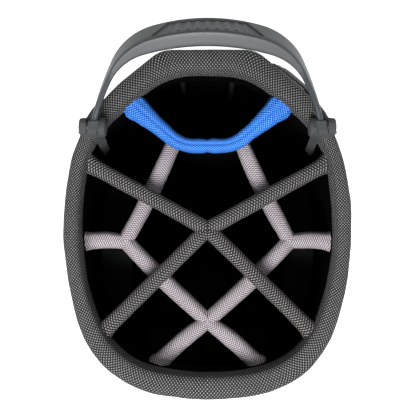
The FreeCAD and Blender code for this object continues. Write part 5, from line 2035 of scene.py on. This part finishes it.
@dataclass
class ShoulderStrap:
    """The strap on the back right diagonal: webbing round two swivel frames and a padded middle."""

    sag: float = 58.0
    webbing: tuple[float, float] = (18.0, 2.4)
    rod: float = 2.2
    pad: tuple[float, float, float] = (29.0, 13.0, 0.56)
    heading: float = math.radians(-40.0)
    skin: float = 0.8
    binding: float = 1.3

    def __post_init__(self) -> None:
        """Finds the arc from the two swivels' places."""
        top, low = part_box("strap_swivel_top"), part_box("strap_swivel_bottom")
        self.high = top[0][2] / MM + self.rod
        self.low = low[1][2] / MM - self.rod
        centre = [(top[0][k] + top[1][k]) / 2 / MM for k in (0, 1)]
        self.origin = np.array(centre)
        self.half = (self.high - self.low) / 2
        self.middle = (self.high + self.low) / 2
        self.radius = (self.half**2 + self.sag**2) / (2 * self.sag)

    def place(self, points: np.ndarray) -> np.ndarray:
        """Carries points (across, out from the swivels' line, height) into the bag's frame.

        Args:
            points: Array whose last axis is a place.

        Returns:
            The same array in the bag's frame.
        """
        c, s = math.cos(self.heading), math.sin(self.heading)
        x, y, z = points[..., 0], points[..., 1], points[..., 2]
        return np.stack([self.origin[0] + x * c - y * s, self.origin[1] + x * s + y * c, z], -1)

    def arc(self, low: float, high: float, count: int) -> tuple[np.ndarray, np.ndarray]:
        """Points and outward ways of the strap's line between two shares of its turn.

        Args:
            low: Share where it starts, from -1 to 1.
            high: Share where it ends.
            count: How many points.

        Returns:
            Points and outward ways, (count, 3) each.
        """
        turn = math.asin(self.half / self.radius)
        t = np.linspace(low * turn, high * turn, count)
        centre = self.sag - self.radius
        out = np.stack([0 * t, np.cos(t), np.sin(t)], -1)
        return np.array([0.0, centre, self.middle]) + self.radius * out, out

    def build(self, wardrobe: Wardrobe) -> None:
        """Builds the webbing, its folds round the frames, the pad and its binding.

        Args:
            wardrobe: Holds the finishes.
        """
        line, out = self.arc(-1, 1, 160)
        half, thick = self.webbing
        section = ring(30, half, thick / 2, 7.0)
        across = np.array([1.0, 0.0, 0.0])
        band = self.place(swept(line, section, across, out[:, None]))
        parts = [lay_grid("band", band, sharp=60)]
        t = np.linspace(0.15, 1.95 * math.pi, 40)
        for end, sign in ((self.low, -1), (self.high, 1)):
            ways = np.stack([0 * t, np.cos(t), sign * np.sin(t)], -1)
            turn = np.array([0.0, 0.0, end]) + (self.rod + thick / 2 + 0.1) * ways
            fold = self.place(swept(turn, section, across, ways[:, None]))
            parts.append(lay_grid("fold", fold, sharp=60))
        webbing = wardrobe.dress(merged("strap_band", parts), "black_webbing")
        finished(webbing, "shoulder_strap", "black_webbing", "strap_webbing")

        wide, deep, share = self.pad
        line, out = self.arc(-share, share, 150)
        step = np.linspace(0, 1, len(line))
        end = (np.clip(np.sin(np.pi * np.clip(step, 0.004, 0.996)), 0, 1)) ** 0.22
        section = ring(72, 1.0, 1.0, 2.7)
        a = section[None, :, 0] * (wide - self.skin) * (0.82 + 0.18 * end[:, None])
        h = section[None, :, 1] * (deep / 2 - self.skin) * end[:, None]
        place = np.stack([np.repeat(step[:, None] * 500, 72, 1), a, h], -1)
        h = h * (1 + 0.10 * ripple(place, 401, 40.0) - 0.25 * bump(np.abs(a), wide - 7.5, 1.6))
        channel = sum(bump(step, c, 0.006) for c in (0.2, 0.4, 0.6, 0.8))[:, None]
        h = h * (1 - 0.22 * channel * ease(wide - 6 - np.abs(a), 0, 4))
        rows = line[:, None] + a[..., None] * across + h[..., None] * out[:, None]
        pad = lay_grid("strap_padding", self.place(rows), crown=18)
        finished(wardrobe.dress(pad, "strap_mesh"), "shoulder_strap", "strap_mesh", "strap_pad")
        off = (wide - 0.9) * across
        edge = np.concatenate([line + off, (line - off)[::-1]])[6:-6]
        binding = cord_tube("strap_pad_binding", self.place(edge), self.binding, closed=True)
        finished(wardrobe.dress(binding, "black_webbing"), "shoulder_strap", "strap_mesh")


@dataclass
class TowelTab:
    """The sewn loop that holds the towel ring: a tab folded round the ring's bar, boxed with
    stitches."""

    half_width: float = 10.0
    radius: float = 3.9
    out: float = 6.2
    drop: float = 19.5
    height: float = 752.0

    def build(self, wardrobe: Wardrobe) -> None:
        """Builds the tab on the back left diagonal.

        Args:
            wardrobe: Holds the finishes.
        """
        plan, out = OUTER.inset(BODY_INSET).loop()
        middle = np.mean(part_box("towel_tab"), axis=0)[:2] / MM
        seat = int(np.argmin(np.linalg.norm(plan - middle, axis=1)))
        n = out[seat]
        base = middle - n * ((middle - plan[seat]) @ n)
        across = np.array([-n[1], n[0]])
        r = self.radius - 0.8
        t = np.linspace(math.pi * 0.75, -math.pi * 0.75, 34)
        curl = np.stack([self.out + r * np.cos(t), r * np.sin(t)], -1)
        leg_out = np.linspace((1.0, self.drop), curl[0], 14)[:-1]
        leg_in = np.linspace(curl[-1], (0.9, 1.0), 6)[1:]
        line = np.concatenate([leg_out, curl, leg_in])
        section = ring(24, self.half_width, 0.75, 6.0)
        rows = line[:, None] + section[None, :, 1:] * left_of(line)[:, None]
        place = np.concatenate([
            base[None, None] + rows[..., :1] * n + section[None, :, :1] * across,
            self.height + rows[..., 1:],
        ], -1)
        tab = lay_grid("towel_loop_webbing", place, sharp=60)
        finished(wardrobe.dress(tab, "black_webbing"), "bag", "black_webbing", "towel_tab")


HARDWARE = {
    "black_plastic": ("base_cup", "strap_adjuster", "top_frame"),
    "black_rubber": ("base_sole", "lower_grab_handle"),
    "stay_alloy": ("stay_front", "stay_back_left", "stay_back_right"),
    "gunmetal": (
        "strap_mount_top", "strap_mount_bottom", "strap_swivel_top", "strap_swivel_bottom", "towel_ring"
    ),
}


def dress_hardware(wardrobe: Wardrobe) -> None:
    """Gives every hard CAD piece its finish.

    Args:
        wardrobe: Holds the finishes.
    """
    for finish, nodes in HARDWARE.items():
        for node in nodes:
            wardrobe.cad(node, finish)
    for pocket in pocket_set():
        wardrobe.cad(f"{pocket.name}_slider", "gunmetal")
        wardrobe.cad(f"{pocket.name}_pull", "pull_plastic")


# ---------------------------------------------------------------- light and camera


@dataclass
class Studio:
    """A pale floor, soft light from above and the camera square to the divider top."""

    distance: float = 0.8
    aim: tuple[float, float] = (0.45, 15.1)
    view_width: float = 370.7
    floor_half: float = 9.0
    floor_painted_glow: float = 0.75
    painted_shade_span: tuple[float, float] = (0.09, 0.3)
    sky: float = 0.36
    backdrop: float = 0.95
    lamps: tuple = (("key", (-0.15, -0.62, 1.85), 28.0, 0.5), ("fill", (1.5, 0.6, 2.2), 8.0, 1.6))

    def floor(self) -> None:
        """Lays the floor, whose glow is painted light that washes out the bag's cast shadow and fades to
        nothing under the bag as painted shade.
        """
        mesh = bpy.data.meshes.new("floor")
        work = bmesh.new()
        bmesh.ops.create_grid(work, x_segments=2, y_segments=2, size=self.floor_half)
        work.to_mesh(mesh)
        work.free()
        made = bpy.data.materials.new("pale_floor")
        made.use_nodes = True
        g = Graph(made.node_tree)
        place = g.add("ShaderNodeTexCoord").outputs["Object"]
        far = g.add("ShaderNodeVectorMath", operation="LENGTH", in_0=place).outputs["Value"]
        # Painted light: the floor glows away from the bag, and the glow fades out under the bag as painted
        # shade.
        painted_floor_light = g.math("MULTIPLY", g.rise(far, *self.painted_shade_span, True), self.floor_painted_glow)
        shader = g.add("ShaderNodeBsdfPrincipled", in_Base_Color=(0.92, 0.92, 0.92, 1), in_Roughness=0.9)
        shader.inputs["Emission Color"].default_value = (1, 1, 1, 1)
        g.join(painted_floor_light, shader.inputs["Emission Strength"])
        g.add("ShaderNodeOutputMaterial", in_Surface=shader.outputs[0])
        mesh.materials.append(made)
        new_object("floor", mesh)

    def light(self) -> None:
        """Sets an even pale sky and two soft lamps."""
        world = bpy.data.worlds.new("studio")
        world.use_nodes = True
        g = Graph(world.node_tree)
        seen = g.add("ShaderNodeLightPath").outputs["Is Camera Ray"]
        strength = g.math("MULTIPLY_ADD", seen, self.backdrop - self.sky, self.sky)
        back = g.add("ShaderNodeBackground", in_Color=(1, 1, 1, 1), in_Strength=strength)
        g.add("ShaderNodeOutputWorld", in_Surface=back.outputs[0])
        bpy.context.scene.world = world
        bpy.context.scene.view_settings.view_transform = "Standard"
        for name, place, power, size in self.lamps:
            lamp = bpy.data.lights.new(name, "AREA")
            lamp.energy, lamp.size = power, size
            made = bpy.data.objects.new(name, lamp)
            made.location = place
            aim = Vector((0, 0, 0.8)) - Vector(place)
            made.rotation_euler = aim.to_track_quat("-Z", "Y").to_euler()
            bpy.context.scene.collection.objects.link(made)

    def camera(self) -> None:
        """Points the camera straight down onto the divider top's own plane."""
        data = bpy.data.cameras.new("camera")
        data.angle = 2 * math.atan(self.view_width / 2 * MM / self.distance)
        made = bpy.data.objects.new("camera", data)
        at = np.array([*self.aim, self.distance / MM])
        made.location = Vector(RIM.world(at) * MM)
        made.rotation_euler = (RIM.slant, 0, 0)
        bpy.context.scene.collection.objects.link(made)
        bpy.context.scene.camera = made


def main() -> None:
    """Builds the bag, piece by piece, and the studio round it."""
    logging.basicConfig(level=logging.INFO, format="%(name)s: %(message)s")
    studio = Studio()
    studio.camera()
    wardrobe = Wardrobe()
    RimPad().build(wardrobe)
    DividerBars().build(wardrobe)
    CarryingHandle().build(wardrobe)
    BagBody().build(wardrobe)
    Dividers().build(wardrobe)
    for pocket in pocket_set():
        pocket.build(wardrobe)
    ShoulderStrap().build(wardrobe)
    TowelTab().build(wardrobe)
    dress_hardware(wardrobe)
    studio.floor()
    studio.light()
    bpy.context.view_layer.update()


if __name__ == "__main__":
    main()
